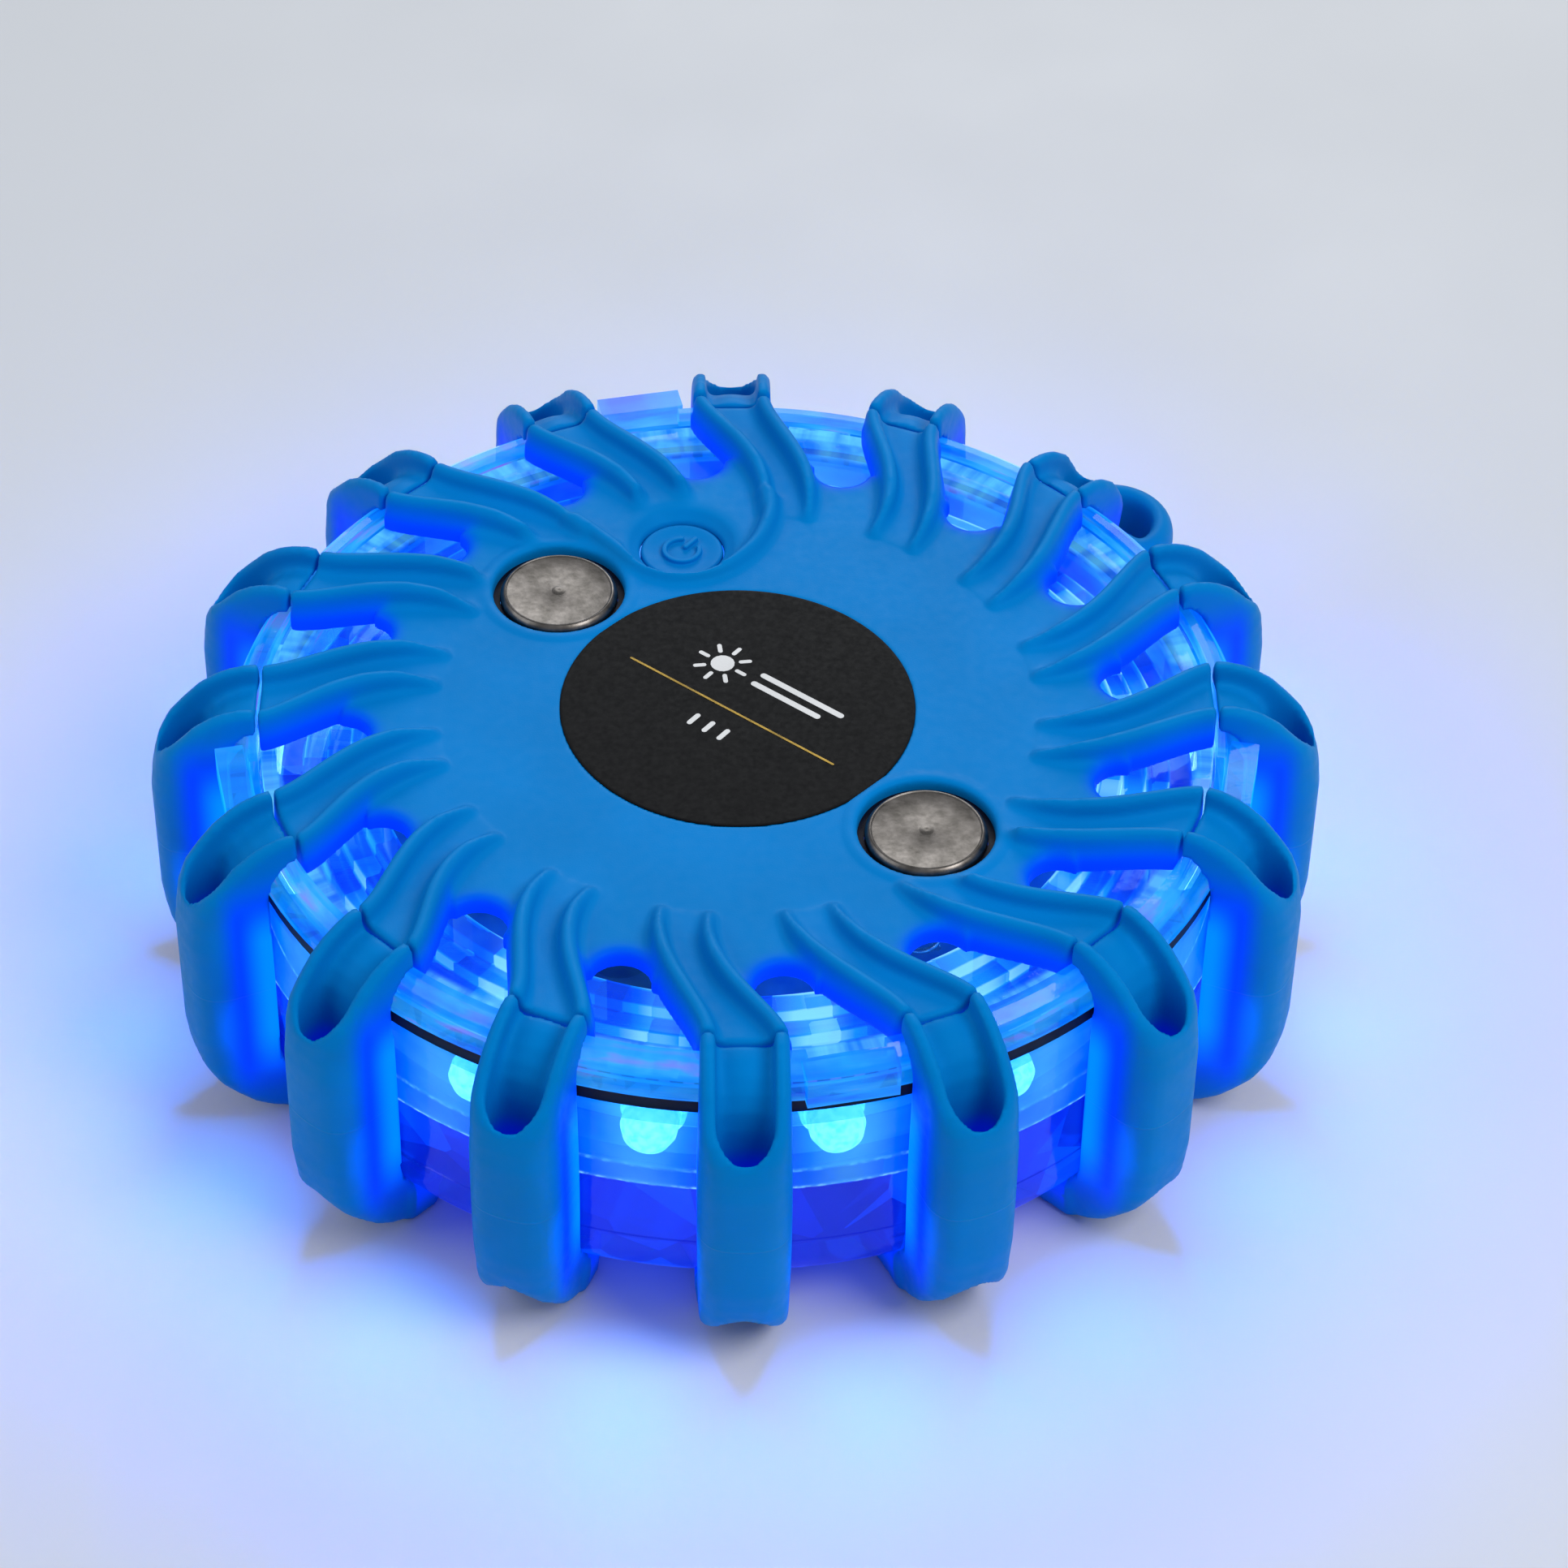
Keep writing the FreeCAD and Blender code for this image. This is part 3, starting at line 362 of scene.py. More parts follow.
def eyelet_field(x, y, z):
    """The hanging loop behind the short post, which lies along +X here."""
    arms = np.abs(y) - EYELET_OUTER + 0.16 * np.maximum(EYELET_AT - x, 0)
    plan = np.where(x > EYELET_AT, np.hypot(x - EYELET_AT, y) - EYELET_OUTER, arms)
    plan = np.maximum(plan, EYELET_ROOT - x)
    tab = both(plan, np.abs(z - MIDDLE) - EYELET_HALF_HEIGHT, 2.4)
    hole = both(np.hypot(x - EYELET_AT, y) - EYELET_HOLE, EYELET_AT - 0.4 - x, 0.8)
    return both(tab, -hole, 1.6)


def bumper_field(x, y, z):
    """Sixteen posts, the eyelet and the finned skin underneath, less the room for the clear body."""
    angle = np.arctan2(y, x)
    r = np.hypot(x, y)
    turned = fold(angle)
    px = r * np.cos(turned)
    py = r * np.sin(turned)
    # the outlines run past the crest so that the seam cut below makes the inner face
    long_post = Outline(mirrored([(42.0, 35.98)] + POST_CREST))
    short_post = Outline(mirrored([(42.0, 35.7)] + SHORT_CREST))
    is_short = np.abs(angle - SHORT_POST) < PITCH / 2
    body = post_field(px, py, z, long_post, Outline(POCKET))
    shorter = post_field(px[is_short], py[is_short], z[is_short], short_post, Outline(SHORT_POCKET))
    eyelet = eyelet_field(px[is_short], py[is_short], z[is_short])
    body[is_short] = either(shorter, eyelet, 1.0)
    low = finned_skin(x, y, HEIGHT - z)
    low = both(low, r - LOW_SKIN_RADIUS, 0.5)
    low = both(low, z - (HEIGHT - SKIN_BACK), 0.2)
    body = either(body, low, 0.8)
    body = both(body, -Outline(CLEAR_BODY, margin=9.0).at(r, z), 0.15)
    body = both(body, -both(r - SEAM - 0.12, 27 - z, 0.2), 0.3)
    return both(body, -z, 0.25)


# ------------------------------------------------------------------ power button
LABEL_LEAN = math.radians(-39)
BUTTON_RADIUS = 3.9
SIGN_RADIUS = 1.65
SIGN_HALF = 0.24
SIGN_GAP = math.radians(32)
SIGN_DEPTH = 0.05
SIGN_BAR_AT = 1.3
SIGN_BAR_HALF = 0.75
BUTTON_DIP = 0.5
BUTTON_RIM = 0.25


def button_field(x, y, z):
    """The push button: a shallow dish with a raised power sign."""
    low, high = heights_of("power_button")
    r = np.hypot(x - BUTTON_AT[0], y - BUTTON_AT[1])
    body = both(r - BUTTON_RADIUS, z - (high - BUTTON_DIP + BUTTON_RIM * ramp(2.2, 3.7, r)), 0.4)
    u = (x - BUTTON_AT[0]) * math.cos(LABEL_LEAN) + (y - BUTTON_AT[1]) * math.sin(LABEL_LEAN)
    v = (y - BUTTON_AT[1]) * math.cos(LABEL_LEAN) - (x - BUTTON_AT[0]) * math.sin(LABEL_LEAN)
    arc = np.abs(np.hypot(u, v) - SIGN_RADIUS) - SIGN_HALF
    gap = np.abs(np.arctan2(u, v)) - SIGN_GAP
    arc = np.maximum(arc, -gap * 1.6)
    bar = np.hypot(u, np.maximum(np.abs(v - SIGN_BAR_AT) - SIGN_BAR_HALF, 0)) - SIGN_HALF
    sign = both(np.minimum(arc, bar), z - high + SIGN_DEPTH, 0.15)
    return both(either(body, sign, 0.15), low - z, 0.1)


# ------------------------------------------------------------------ lamplight and shade painted on the rubber
BLUE_RUBBER = (0.0, 0.215, 0.62)
PAINTED_LIGHT_AND_SHADE_RUBBER = (0.0, 0.012, 0.3)
DEEP_GLOW = (0.0, 0.03, 0.75)
CORE_GLOW = (0.0, 0.22, 0.5)
SCOOP_GLOW = (0.0, 0.004, 0.26)
GLOW_REACH = 0.9


def fin_light(x, y, z):
    """How strongly the lamps shine through the rubber beside a window."""
    r = np.hypot(x, y)
    angle = np.arctan2(y, x)
    turned = np.abs(fold(angle - swirl(r)))
    near = np.maximum(window_field(r, angle, turned), 0) / GLOW_REACH
    return np.exp(-near * near) * ramp(32.7, 29.4, z)


def no_light(points, normals):
    """The button is out of the lamps' reach."""
    return np.zeros((len(points), 3)), np.zeros(len(points))


def cover_light(points, normals):
    """Painted deep-blue lamplight on the window edges and the fins' flanks, with the colour darkened beneath
    it.
    """
    x, y, z = points.T
    amount = fin_light(x, y, z)
    return amount[:, None] * np.array(DEEP_GLOW), amount


def bumper_light(points, normals):
    """Painted lamplight on the posts' sides next to the lens and under the windows below, and painted shade
    with a faint blue glow in the scoops.
    """
    x, y, z = points.T
    angle = np.arctan2(y, x)
    r = np.hypot(x, y)
    turned = fold(angle)
    ahead, aside = r * np.cos(turned), r * np.sin(turned)
    near = angle - turned
    facing = np.abs(normals[:, 1] * np.cos(near) - normals[:, 0] * np.sin(near))
    side = ramp(0.35, 0.85, facing) * ramp(2.9, 3.4, np.abs(aside))
    middle = ramp(2.0, 9.0, z) * ramp(31.0, 25.0, z)
    deep = side * ramp(51.6, 49.0, ahead) * middle
    core = side * ramp(49.6, 46.8, ahead) * ramp(4.5, 12.0, z) * ramp(27.5, 22.0, z)
    # painted shade in the scoops: the colour is darkened, with a faint deep-blue glow
    in_scoop = (np.abs(aside) < 2.8) * (ahead > 48) * (ahead < 52.2)
    scoop = ramp(24.5, 21.5, np.maximum(z, HEIGHT - z)) * in_scoop
    under = fin_light(x, y, HEIGHT - z) * (r < 45) * (z < 6)
    amount = np.clip(np.maximum(np.maximum(deep, under), scoop * 0.9), 0, 1)
    glow = (np.maximum(deep, under)[:, None] * np.array(DEEP_GLOW) + core[:, None] * np.array(CORE_GLOW)
            + scoop[:, None] * np.array(SCOOP_GLOW))
    return glow, amount


# ------------------------------------------------------------------ meshes
def add_object(name, mesh):
    obj = bpy.data.objects.new(name, mesh)
    bpy.context.scene.collection.objects.link(obj)
    return obj


def sampled(field, low, high, voxel):
    """A field's values on a grid between two corners, closed off at the grid's sides."""
    count = np.ceil((np.array(high) - low) / voxel).astype(int) + 1
    axes = [np.float32(low[i]) + np.float32(voxel) * np.arange(count[i], dtype=np.float32) for i in range(3)]
    values = field(*np.meshgrid(*axes, indexing="ij")).astype(np.float32)
    values[0], values[-1] = 1, 1
    values[:, 0], values[:, -1] = 1, 1
    values[:, :, 0] = np.maximum(values[:, :, 0], 0.3)
    values[:, :, -1] = np.maximum(values[:, :, -1], 0.3)
    return values


def slopes(values, points):
    """The field's direction of growth at each point, which is the surface's normal."""
    i, j, k = np.clip(np.round(points).astype(int), 1, np.array(values.shape) - 2).T
    slope = np.stack([values[i + 1, j, k] - values[i - 1, j, k],
                      values[i, j + 1, k] - values[i, j - 1, k],
                      values[i, j, k + 1] - values[i, j, k - 1]], 1)
    return slope / np.maximum(np.linalg.norm(slope, axis=1, keepdims=True), 1e-6)


def carve(name, field, low, high, voxel, light):
    """Mesh the surface where a field is zero; light gives each point's painted glow, and the share by which
    painted light and shade darken its colour.
    """
    values = sampled(field, low, high, voxel)
    grid = vdb.FloatGrid(1.0)
    grid.copyFromArray(np.clip(values, -3, 3))
    points, triangles, quads = grid.convertToPolygons(0.0, 0.0)
    places = points * voxel + np.array(low)
    corners = np.concatenate([quads[:, ::-1].ravel(), triangles[:, ::-1].ravel()]).astype(np.int32)
    sizes = np.concatenate([np.full(len(quads), 4), np.full(len(triangles), 3)]).astype(np.int32)
    starts = np.concatenate([[0], np.cumsum(sizes)[:-1]]).astype(np.int32)
    mesh = bpy.data.meshes.new(name)
    mesh.vertices.add(len(points))
    mesh.vertices.foreach_set("co", (places * MM).astype(np.float32).ravel())
    mesh.loops.add(len(corners))
    mesh.loops.foreach_set("vertex_index", corners)
    mesh.polygons.add(len(sizes))
    mesh.polygons.foreach_set("loop_start", starts)
    mesh.update(calc_edges=True)
    glow, painted_light_and_shade_share = light(places, slopes(values, points))
    colours = mesh.attributes.new("glow", "FLOAT_COLOR", "POINT")
    colours.data.foreach_set("color", np.hstack([glow, painted_light_and_shade_share[:, None]]).astype(np.float32).ravel())
    mesh.validate()
    mesh.shade_smooth()
    return add_object(name, mesh)


def new_object(name, points, faces, smooth=True):
    """An object from points in millimetres and faces of point numbers."""
    mesh = bpy.data.meshes.new(name)
    mesh.from_pydata([(x * MM, y * MM, z * MM) for x, y, z in points], [], faces)
    mesh.validate()
    mesh.update()
    if smooth:
        mesh.shade_smooth()
        mesh.set_sharp_from_angle(angle=math.radians(35))
    return add_object(name, mesh)


def turn(outline, segments=256, x0=0.0, y0=0.0):
    """Points and faces of a closed (radius, height) outline turned about an upright axis."""
    count = len(outline)
    points = []
    for s in range(segments):
        angle = 2 * math.pi * s / segments
        for r, z in outline:
            points.append((x0 + r * math.cos(angle), y0 + r * math.sin(angle), z))
    faces = []
    for s in range(segments):
        here, there = s * count, (s + 1) % segments * count
        for i in range(count):
            j = (i + 1) % count
            if outline[i][0] > 0 or outline[j][0] > 0:
                faces.append((here + i, there + i, there + j, here + j))
    return points, faces


def cleaned(obj):
    """Joins doubled points on the axis and turns every face outwards."""
    clean = bmesh.new()
    clean.from_mesh(obj.data)
    bmesh.ops.remove_doubles(clean, verts=clean.verts, dist=1e-7)
    bmesh.ops.dissolve_degenerate(clean, edges=clean.edges, dist=1e-8)
    bmesh.ops.recalc_face_normals(clean, faces=clean.faces)
    clean.to_mesh(obj.data)
    clean.free()
    return obj


def turned(name, outline, segments):
    return cleaned(new_object(name, *turn(outline, segments)))


# ------------------------------------------------------------------ materials
class Look:
    """A node material, with short calls for the nodes used here."""

    def __init__(self, name):
        self.material = bpy.data.materials.new(name)
        self.material.use_nodes = True
        self.tree = self.material.node_tree
        self.tree.nodes.clear()
        self.output = self.add("OutputMaterial")
        self.place = self.add("TexCoord").outputs["Object"]

    def add(self, kind, values=None, **settings):
        """A shader node; a value that is a socket is linked, and any other is set."""
        node = self.tree.nodes.new("ShaderNode" + kind)
        for key, value in settings.items():
            setattr(node, key, value)
        for key, value in (values or {}).items():
            if isinstance(value, bpy.types.NodeSocket):
                self.tree.links.new(value, node.inputs[key])
            else:
                node.inputs[key].default_value = value
        return node

    def math(self, operation, a, b=0.0, c=0.0):
        return self.add("Math", {0: a, 1: b, 2: c}, operation=operation).outputs[0]

    def noise(self, size, detail=2.0, place=None):
        """Noise with features of about size millimetres."""
        values = {"Vector": place or self.place, "Scale": 1 / (size * MM), "Detail": detail}
        return self.add("TexNoise", values).outputs["Fac"]

    def between(self, value, low, high, start, end):
        """Maps a value from low..high to start..end."""
        values = {"Value": value, "From Min": low, "From Max": high, "To Min": start, "To Max": end}
        return self.add("MapRange", values).outputs[0]

    def shades(self, value, *stops):
        """A colour ramp with (position, colour) stops."""
        node = self.add("ValToRGB", {"Fac": value})
        marks = node.color_ramp.elements
        for _ in range(len(stops) - 2):
            marks.new(0.5)
        for mark, (place, colour) in zip(marks, stops):
            mark.position = place
            mark.color = (*colour, 1)
        return node.outputs["Color"]

    def bump(self, height, depth, strength=1.0):
        values = {"Height": height, "Distance": depth * MM, "Strength": strength}
        return self.add("Bump", values).outputs[0]

    def blend(self, share, first, second):
        second = second if isinstance(second, bpy.types.NodeSocket) else (*second, 1)
        return self.add("Mix", {0: share, 6: first, 7: second}, data_type="RGBA").outputs[2]

    def cells(self, place, size, randomness, distance="EUCLIDEAN"):
        """A random value from 0 to 1 for each cell of about size millimetres."""
        values = {"Vector": place, "Scale": 1 / (size * MM), "Randomness": randomness}
        colour = self.add("TexVoronoi", values, distance=distance).outputs["Color"]
        return self.add("SeparateColor", {0: colour}).outputs[0]

    def coordinate(self, axis):
        return self.add("SeparateXYZ", {0: self.place}).outputs[axis]

    def height(self):
        """Height above the ground, in millimetres."""
        return self.math("MULTIPLY", self.coordinate(2), 1 / MM)

    def radius(self):
        """Distance from the upright axis, in millimetres."""
        plan = (1 / MM, 1 / MM, 0)
        flat = self.add("VectorMath", {0: self.place, 1: plan}, operation="MULTIPLY").outputs[0]
        return self.add("VectorMath", {0: flat}, operation="LENGTH").outputs["Value"]

    def angle(self):
        return self.math("ARCTAN2", self.coordinate(1), self.coordinate(0))

    def around(self):
        """Distance round the lens, in metres."""
        return self.math("MULTIPLY", self.angle(), LENS_RADIUS * MM)

    def wrapped(self):
        """A place on the lens laid out flat."""
        return self.add("CombineXYZ", {0: self.around(), 1: self.coordinate(2)}).outputs[0]

    def beam(self, power=1.0):
        """1 in front of each lamp and 0 between them."""
        wave = self.math("COSINE", self.math("MULTIPLY", self.angle(), 2 * math.pi / PITCH))
        return self.math("POWER", self.math("MULTIPLY_ADD", wave, -0.5, 0.5), power)

    def line_at(self, height, level, half, reach, strength=1.0):
        """A thin level line: full strength within half of its height, and gone at reach."""
        away = self.math("ABSOLUTE", self.math("SUBTRACT", height, level))
        return self.between(away, half, reach, strength, 0.0)

    def finish(self, shader):
        self.tree.links.new(shader.outputs[0], self.output.inputs["Surface"])
        return self.material

    def finish_clear(self, glow, amount, opacity, tinted, rough):
        """Tinted clear plastic: seen through, more solid at its edges, with the lamps' light inside it
        painted on as a soft glow.
        """
        lit = self.add("BsdfPrincipled", {
            "Base Color": CLEAR_BASE, "Roughness": rough, "Emission Color": glow,
            "Emission Strength": amount, "Normal": self.bump(self.noise(1.5), 0.05, 0.5),
        })
        through = self.add("BsdfTransparent", {"Color": (*tinted, 1)})
        edge = self.math("POWER", self.add("LayerWeight", {"Blend": 0.5}).outputs["Facing"], 3.0)
        share = self.math("MAXIMUM", edge, opacity)
        return self.finish(self.add("MixShader", {0: share, 1: through.outputs[0], 2: lit.outputs[0]}))


def tint(colour, amount):
    return tuple(c * amount for c in colour)


def solid_look(name, colour, rough, metal=0.0, grain=0.15, depth=0.01, patch=6.0, vary=0.12, shine=0.5):
    """A plain solid finish with fine grain, faint patches and uneven gloss."""
    look = Look(name)
    patches = look.noise(patch, 3.0)
    values = {
        "Base Color": look.shades(patches, (0.3, tint(colour, 1 - vary)), (0.7, tint(colour, 1 + vary))),
        "Roughness": look.between(look.noise(patch / 3, 3.0), 0.3, 0.7, rough * 0.85, rough * 1.15),
        "Metallic": metal,
        "Specular IOR Level": shine,
        "Normal": look.bump(look.noise(grain), depth),
    }
    return look.finish(look.add("BsdfPrincipled", values))


def rubber_look(name):
    """Soft blue rubber with a mould line at mid-height and the lamps' glow painted on its points, its colour
    darkened where that painted light and the scoops' painted shade lie.
    """
    look = Look(name)
    line = look.line_at(look.height(), MIDDLE, 0.04, 0.16)
    flash = look.math("ADD", look.math("MULTIPLY", look.noise(0.16), 0.3), line)
    patches = look.noise(14.0, 3.0)
    colour = look.shades(patches, (0.3, tint(BLUE_RUBBER, 0.93)), (0.7, tint(BLUE_RUBBER, 1.06)))
    colour = look.blend(look.math("MULTIPLY", line, 0.2), colour, (0.02, 0.3, 0.7))
    # painted lamplight and shade: each point's glow, and its colour darkened by the stored share
    lamps = look.add("Attribute", attribute_name="glow")
    painted_light_and_shade_share = look.math("MULTIPLY", lamps.outputs["Alpha"], 0.9)
    values = {
        "Base Color": look.blend(painted_light_and_shade_share, colour, PAINTED_LIGHT_AND_SHADE_RUBBER),
        "Roughness": look.between(look.noise(1.1, 4.0), 0.3, 0.7, 0.42, 0.56),
        "Normal": look.bump(flash, 0.05, 0.6),
        "Specular IOR Level": 0.16,
        "Specular Tint": (0.05, 0.5, 1.0, 1),
        "Emission Color": lamps.outputs["Color"],
        "Emission Strength": 1.0,
    }
    return look.finish(look.add("BsdfPrincipled", values))


CLEAR_BASE = (0.004, 0.03, 0.3, 1)
BLUE = (0.0, 0.05, 1.0)
BRIGHT = (0.0, 0.28, 1.0)
CYAN = (0.1, 0.65, 1.0)
PINK = (0.3, 0.16, 0.85)


def lens_look(name):
    """Painted lamplight: bright in front of the lamps, deep blue and broken into shards under the step line.
    """
    look = Look(name)
    height = look.height()
    wrapped = look.wrapped()
    shards = look.cells(wrapped, 6.0, 0.9)
    low = look.shades(shards, (0.2, (0.0, 0.005, 0.32)), (0.6, (0.0, 0.015, 0.55)), (0.95, (0.0, 0.07, 0.9)))
    lamps = look.math("MULTIPLY", look.beam(1.5), 0.6)
    streaks = look.math("MULTIPLY", look.noise(5.0, 2.0, wrapped), 0.5)
    high = look.shades(look.math("ADD", lamps, streaks), (0.2, BLUE), (0.55, BRIGHT), (0.95, CYAN))
    above = look.between(height, STEP_LINE - 0.15, STEP_LINE + 0.15, 0.0, 1.0)
    glow = look.blend(above, low, high)
    # a bright speckled line at the upper mould step as a painted highlight, and a dark line at the lower
    specks = look.between(look.noise(0.8, 2.0, wrapped), 0.45, 0.65, 0.15, 1.0)
    line = look.math("MULTIPLY", look.line_at(height, STEP_LINE, 0.1, 0.3), specks)
    glow = look.blend(line, glow, (0.3, 0.9, 1.0))
    glow = look.blend(look.line_at(height, LOW_LINE, 0.08, 0.22, 0.6), glow, (0.0, 0.004, 0.25))
    opacity = look.between(height, STEP_LINE - 0.5, STEP_LINE + 0.5, 0.6, 0.3)
    return look.finish_clear(glow, 1.2, opacity, (0.45, 0.75, 1.0), 0.07)


def ring_look(name):
    """The clear shoulder ring: painted blue lamplight with drifting painted pink glints, and a clear skirt
    inside the lens.
    """
    look = Look(name)
    stretched = look.add("Mapping", {"Vector": look.wrapped(), "Scale": (0.4, 2.2, 1)}).outputs[0]
    drift = look.noise(4.0, 3.0, stretched)
    glow = look.shades(drift, (0.3, BLUE), (0.48, BRIGHT), (0.6, (0.03, 0.4, 1.0)), (0.7, PINK))
    amount = look.math("MULTIPLY_ADD", look.beam(), 0.5, 0.75)
    opacity = look.between(look.height(), LENS_TOP - 0.1, LENS_TOP + 0.1, 0.04, 0.5)
    return look.finish_clear(glow, amount, opacity, (0.6, 0.8, 1.0), 0.07)


def plate_look(name):
    """The clear plate under the cover, with a painted glowing haze and a painted highlight on its rim."""
    look = Look(name)
    rim = look.between(look.radius(), 41.3, 41.9, 0.0, 1.0)
    # painted lamplight over the plate, and a brighter painted highlight at the rim
    painted_glow_haze = look.shades(look.noise(3.0, 3.0), (0.35, (0.0, 0.06, 0.8)), (0.65, (0.05, 0.45, 1.0)))
    patches = look.noise(2.0, 3.0, look.wrapped())
    shine = look.shades(patches, (0.35, (0.0, 0.2, 1.0)), (0.6, (0.15, 0.75, 1.0)))
    opacity = look.math("MULTIPLY_ADD", rim, 0.5, 0.05)
    return look.finish_clear(look.blend(rim, painted_glow_haze, shine), 0.9, opacity, (0.8, 0.9, 1.0), 0.05)


PRISM_INNER = 33.0
PRISM_STEP = 2.15


def prism_look(name):
    """The stepped ring over the lamps, all its light painted: blocks of unequal brightness, bright step edges
    as painted highlights and hot spots in front of the lamps.
    """
    look = Look(name)
    radius = look.radius()
    outwards = look.math("MULTIPLY", radius, 1.6 * MM)
    block = look.add("CombineXYZ", {0: look.around(), 1: outwards}).outputs[0]
    cells = look.cells(block, 3.4, 0.35, "CHEBYCHEV")
    steps = look.math("MULTIPLY", look.math("SUBTRACT", radius, PRISM_INNER), 1 / PRISM_STEP)
    steps = look.math("ABSOLUTE", look.math("SUBTRACT", look.math("FRACT", steps), 0.5))
    steps = look.between(steps, 0.36, 0.48, 0.0, 0.35)
    lamps = look.math("MULTIPLY", look.beam(2.0), 0.45)
    level = look.math("ADD", look.math("MULTIPLY", cells, 0.5), lamps)
    level = look.math("ADD", level, steps)
    glow = look.shades(level, (0.15, (0.0, 0.01, 0.4)), (0.45, (0.0, 0.08, 0.9)), (0.75, (0.01, 0.35, 1.0)),
                       (1.0, (0.4, 0.95, 1.0)))
    return look.finish_clear(glow, 1.1, 0.75, (0.6, 0.8, 1.0), 0.08)


def lamp_look(name):
    """An inside part with the lamps' light on it painted as a glow, stronger in front of each lamp and in
    patches.
    """
    look = Look(name)
    values = {
        "Base Color": (0.6, 0.8, 1.0, 1), "Roughness": 0.2,
        "Emission Color": look.shades(look.noise(0.7, 3.0), (0.3, (0.2, 0.7, 1.0)), (0.6, (0.6, 0.95, 1.0))),
        "Emission Strength": 3.4,
    }
    return look.finish(look.add("BsdfPrincipled", values))


def lit_look(name, colour, glow, strength, rough=0.5):
    """An inside part that the lamps shine on."""
    look = Look(name)
    patches = look.noise(3.0, 3.0)
    amount = look.math("MULTIPLY", look.beam(), patches)
    values = {
        "Base Color": look.shades(patches, (0.3, tint(colour, 0.85)), (0.7, colour)),
        "Roughness": look.between(patches, 0.3, 0.7, rough * 0.8, rough * 1.2),
        "Normal": look.bump(look.noise(0.4), 0.02),
        "Emission Color": (*glow, 1),
        "Emission Strength": look.math("MULTIPLY_ADD", amount, strength, strength / 3),
    }
    return look.finish(look.add("BsdfPrincipled", values))


def nickel_look(name):
    """Turned nickel: fine rings round the middle, handled and slightly stained."""
    look = Look(name)
    distance = look.add("VectorMath", {0: look.place}, operation="LENGTH").outputs["Value"]
    rings = look.math("SINE", look.math("MULTIPLY", distance, 2 * math.pi / (0.4 * MM)))
    wander = look.noise(0.5, 3.0)
    height = look.math("ADD", look.math("MULTIPLY", rings, 0.5), wander)
    values = {
        "Base Color": look.shades(look.noise(1.2, 5.0), (0.3, (0.10, 0.09, 0.08)), (0.7, (0.2, 0.18, 0.165))),
        "Metallic": 1.0,
        "Roughness": look.between(wander, 0.3, 0.7, 0.28, 0.4),
        "Normal": look.bump(height, 0.012, 0.8),
    }
    return look.finish(look.add("BsdfPrincipled", values))


SHAPED_LOOKS = {
    "bumper_rubber": rubber_look,
    "cover_rubber": rubber_look,
    "button_rubber": rubber_look,
    "clear_lens": lens_look,
    "clear_ring": ring_look,
    "clear_plate": plate_look,
    "clear_prism": prism_look,
    "led_lens": lamp_look,
    "contact_nickel": nickel_look,
}
LIT_LOOKS = {
    "board": {"colour": (0.02, 0.12, 0.3), "glow": (0.0, 0.08, 0.8), "strength": 0.6},
    "reflector_white": {"colour": (0.7, 0.8, 0.9), "glow": (0.02, 0.35, 1.0), "strength": 1.3},
}
SOLID_LOOKS = {
    "seal_rubber": {"colour": (0.002, 0.002, 0.012), "rough": 0.5, "shine": 0.2},
    "label_black": {"colour": (0.0015, 0.0015, 0.002), "rough": 0.5, "depth": 0.002, "patch": 1.5,
                    "shine": 0.1},
    "switch_plastic": {"colour": (0.03, 0.03, 0.04), "rough": 0.5},
    "switch_case": {"colour": (0.5, 0.5, 0.52), "rough": 0.35, "metal": 1.0},
    "screw_steel": {"colour": (0.55, 0.55, 0.57), "rough": 0.3, "metal": 1.0},
    "capacitor_sleeve": {"colour": (0.01, 0.004, 0.06), "rough": 0.4},
    "ferrite": {"colour": (0.02, 0.02, 0.03), "rough": 0.6},
    "chip": {"colour": (0.01, 0.01, 0.012), "rough": 0.45},
    "spring_steel": {"colour": (0.6, 0.6, 0.6), "rough": 0.25, "metal": 1.0},
    "battery_wrap": {"colour": (0.0, 0.02, 0.25), "rough": 0.35, "patch": 12},
    "tray_plastic": {"colour": (0.004, 0.008, 0.06), "rough": 0.5},
    "foam": {"colour": (0.005, 0.005, 0.03), "rough": 0.9, "grain": 0.6, "depth": 0.2},
    "tab_nickel": {"colour": (0.6, 0.58, 0.55), "rough": 0.3, "metal": 1.0},
    "magnet_nickel": {"colour": (0.3, 0.3, 0.35), "rough": 0.25, "metal": 1.0},
}
LOOKS = {slot: make(slot) for slot, make in SHAPED_LOOKS.items()}
LOOKS.update({slot: lit_look(slot, **finish) for slot, finish in LIT_LOOKS.items()})
LOOKS.update({slot: solid_look(slot, **finish) for slot, finish in SOLID_LOOKS.items()})
SLOT_OF = {part["node"]: part["material_slot"] for part in frame["record"]["subparts"]}
BODY_OF = {node: body for body, nodes in frame["record"]["behaviour"]["bodies"].items() for node in nodes}
for node, obj in frame["nodes"].items():
    obj.data.materials.clear()
    obj.data.materials.append(LOOKS[SLOT_OF[node]])


def stand_in(obj, node):
    """obj takes a CAD node's place, body, slot and finish."""
    obj.data.materials.append(LOOKS[SLOT_OF[node]])
    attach(obj, BODY_OF[node])
    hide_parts(node)


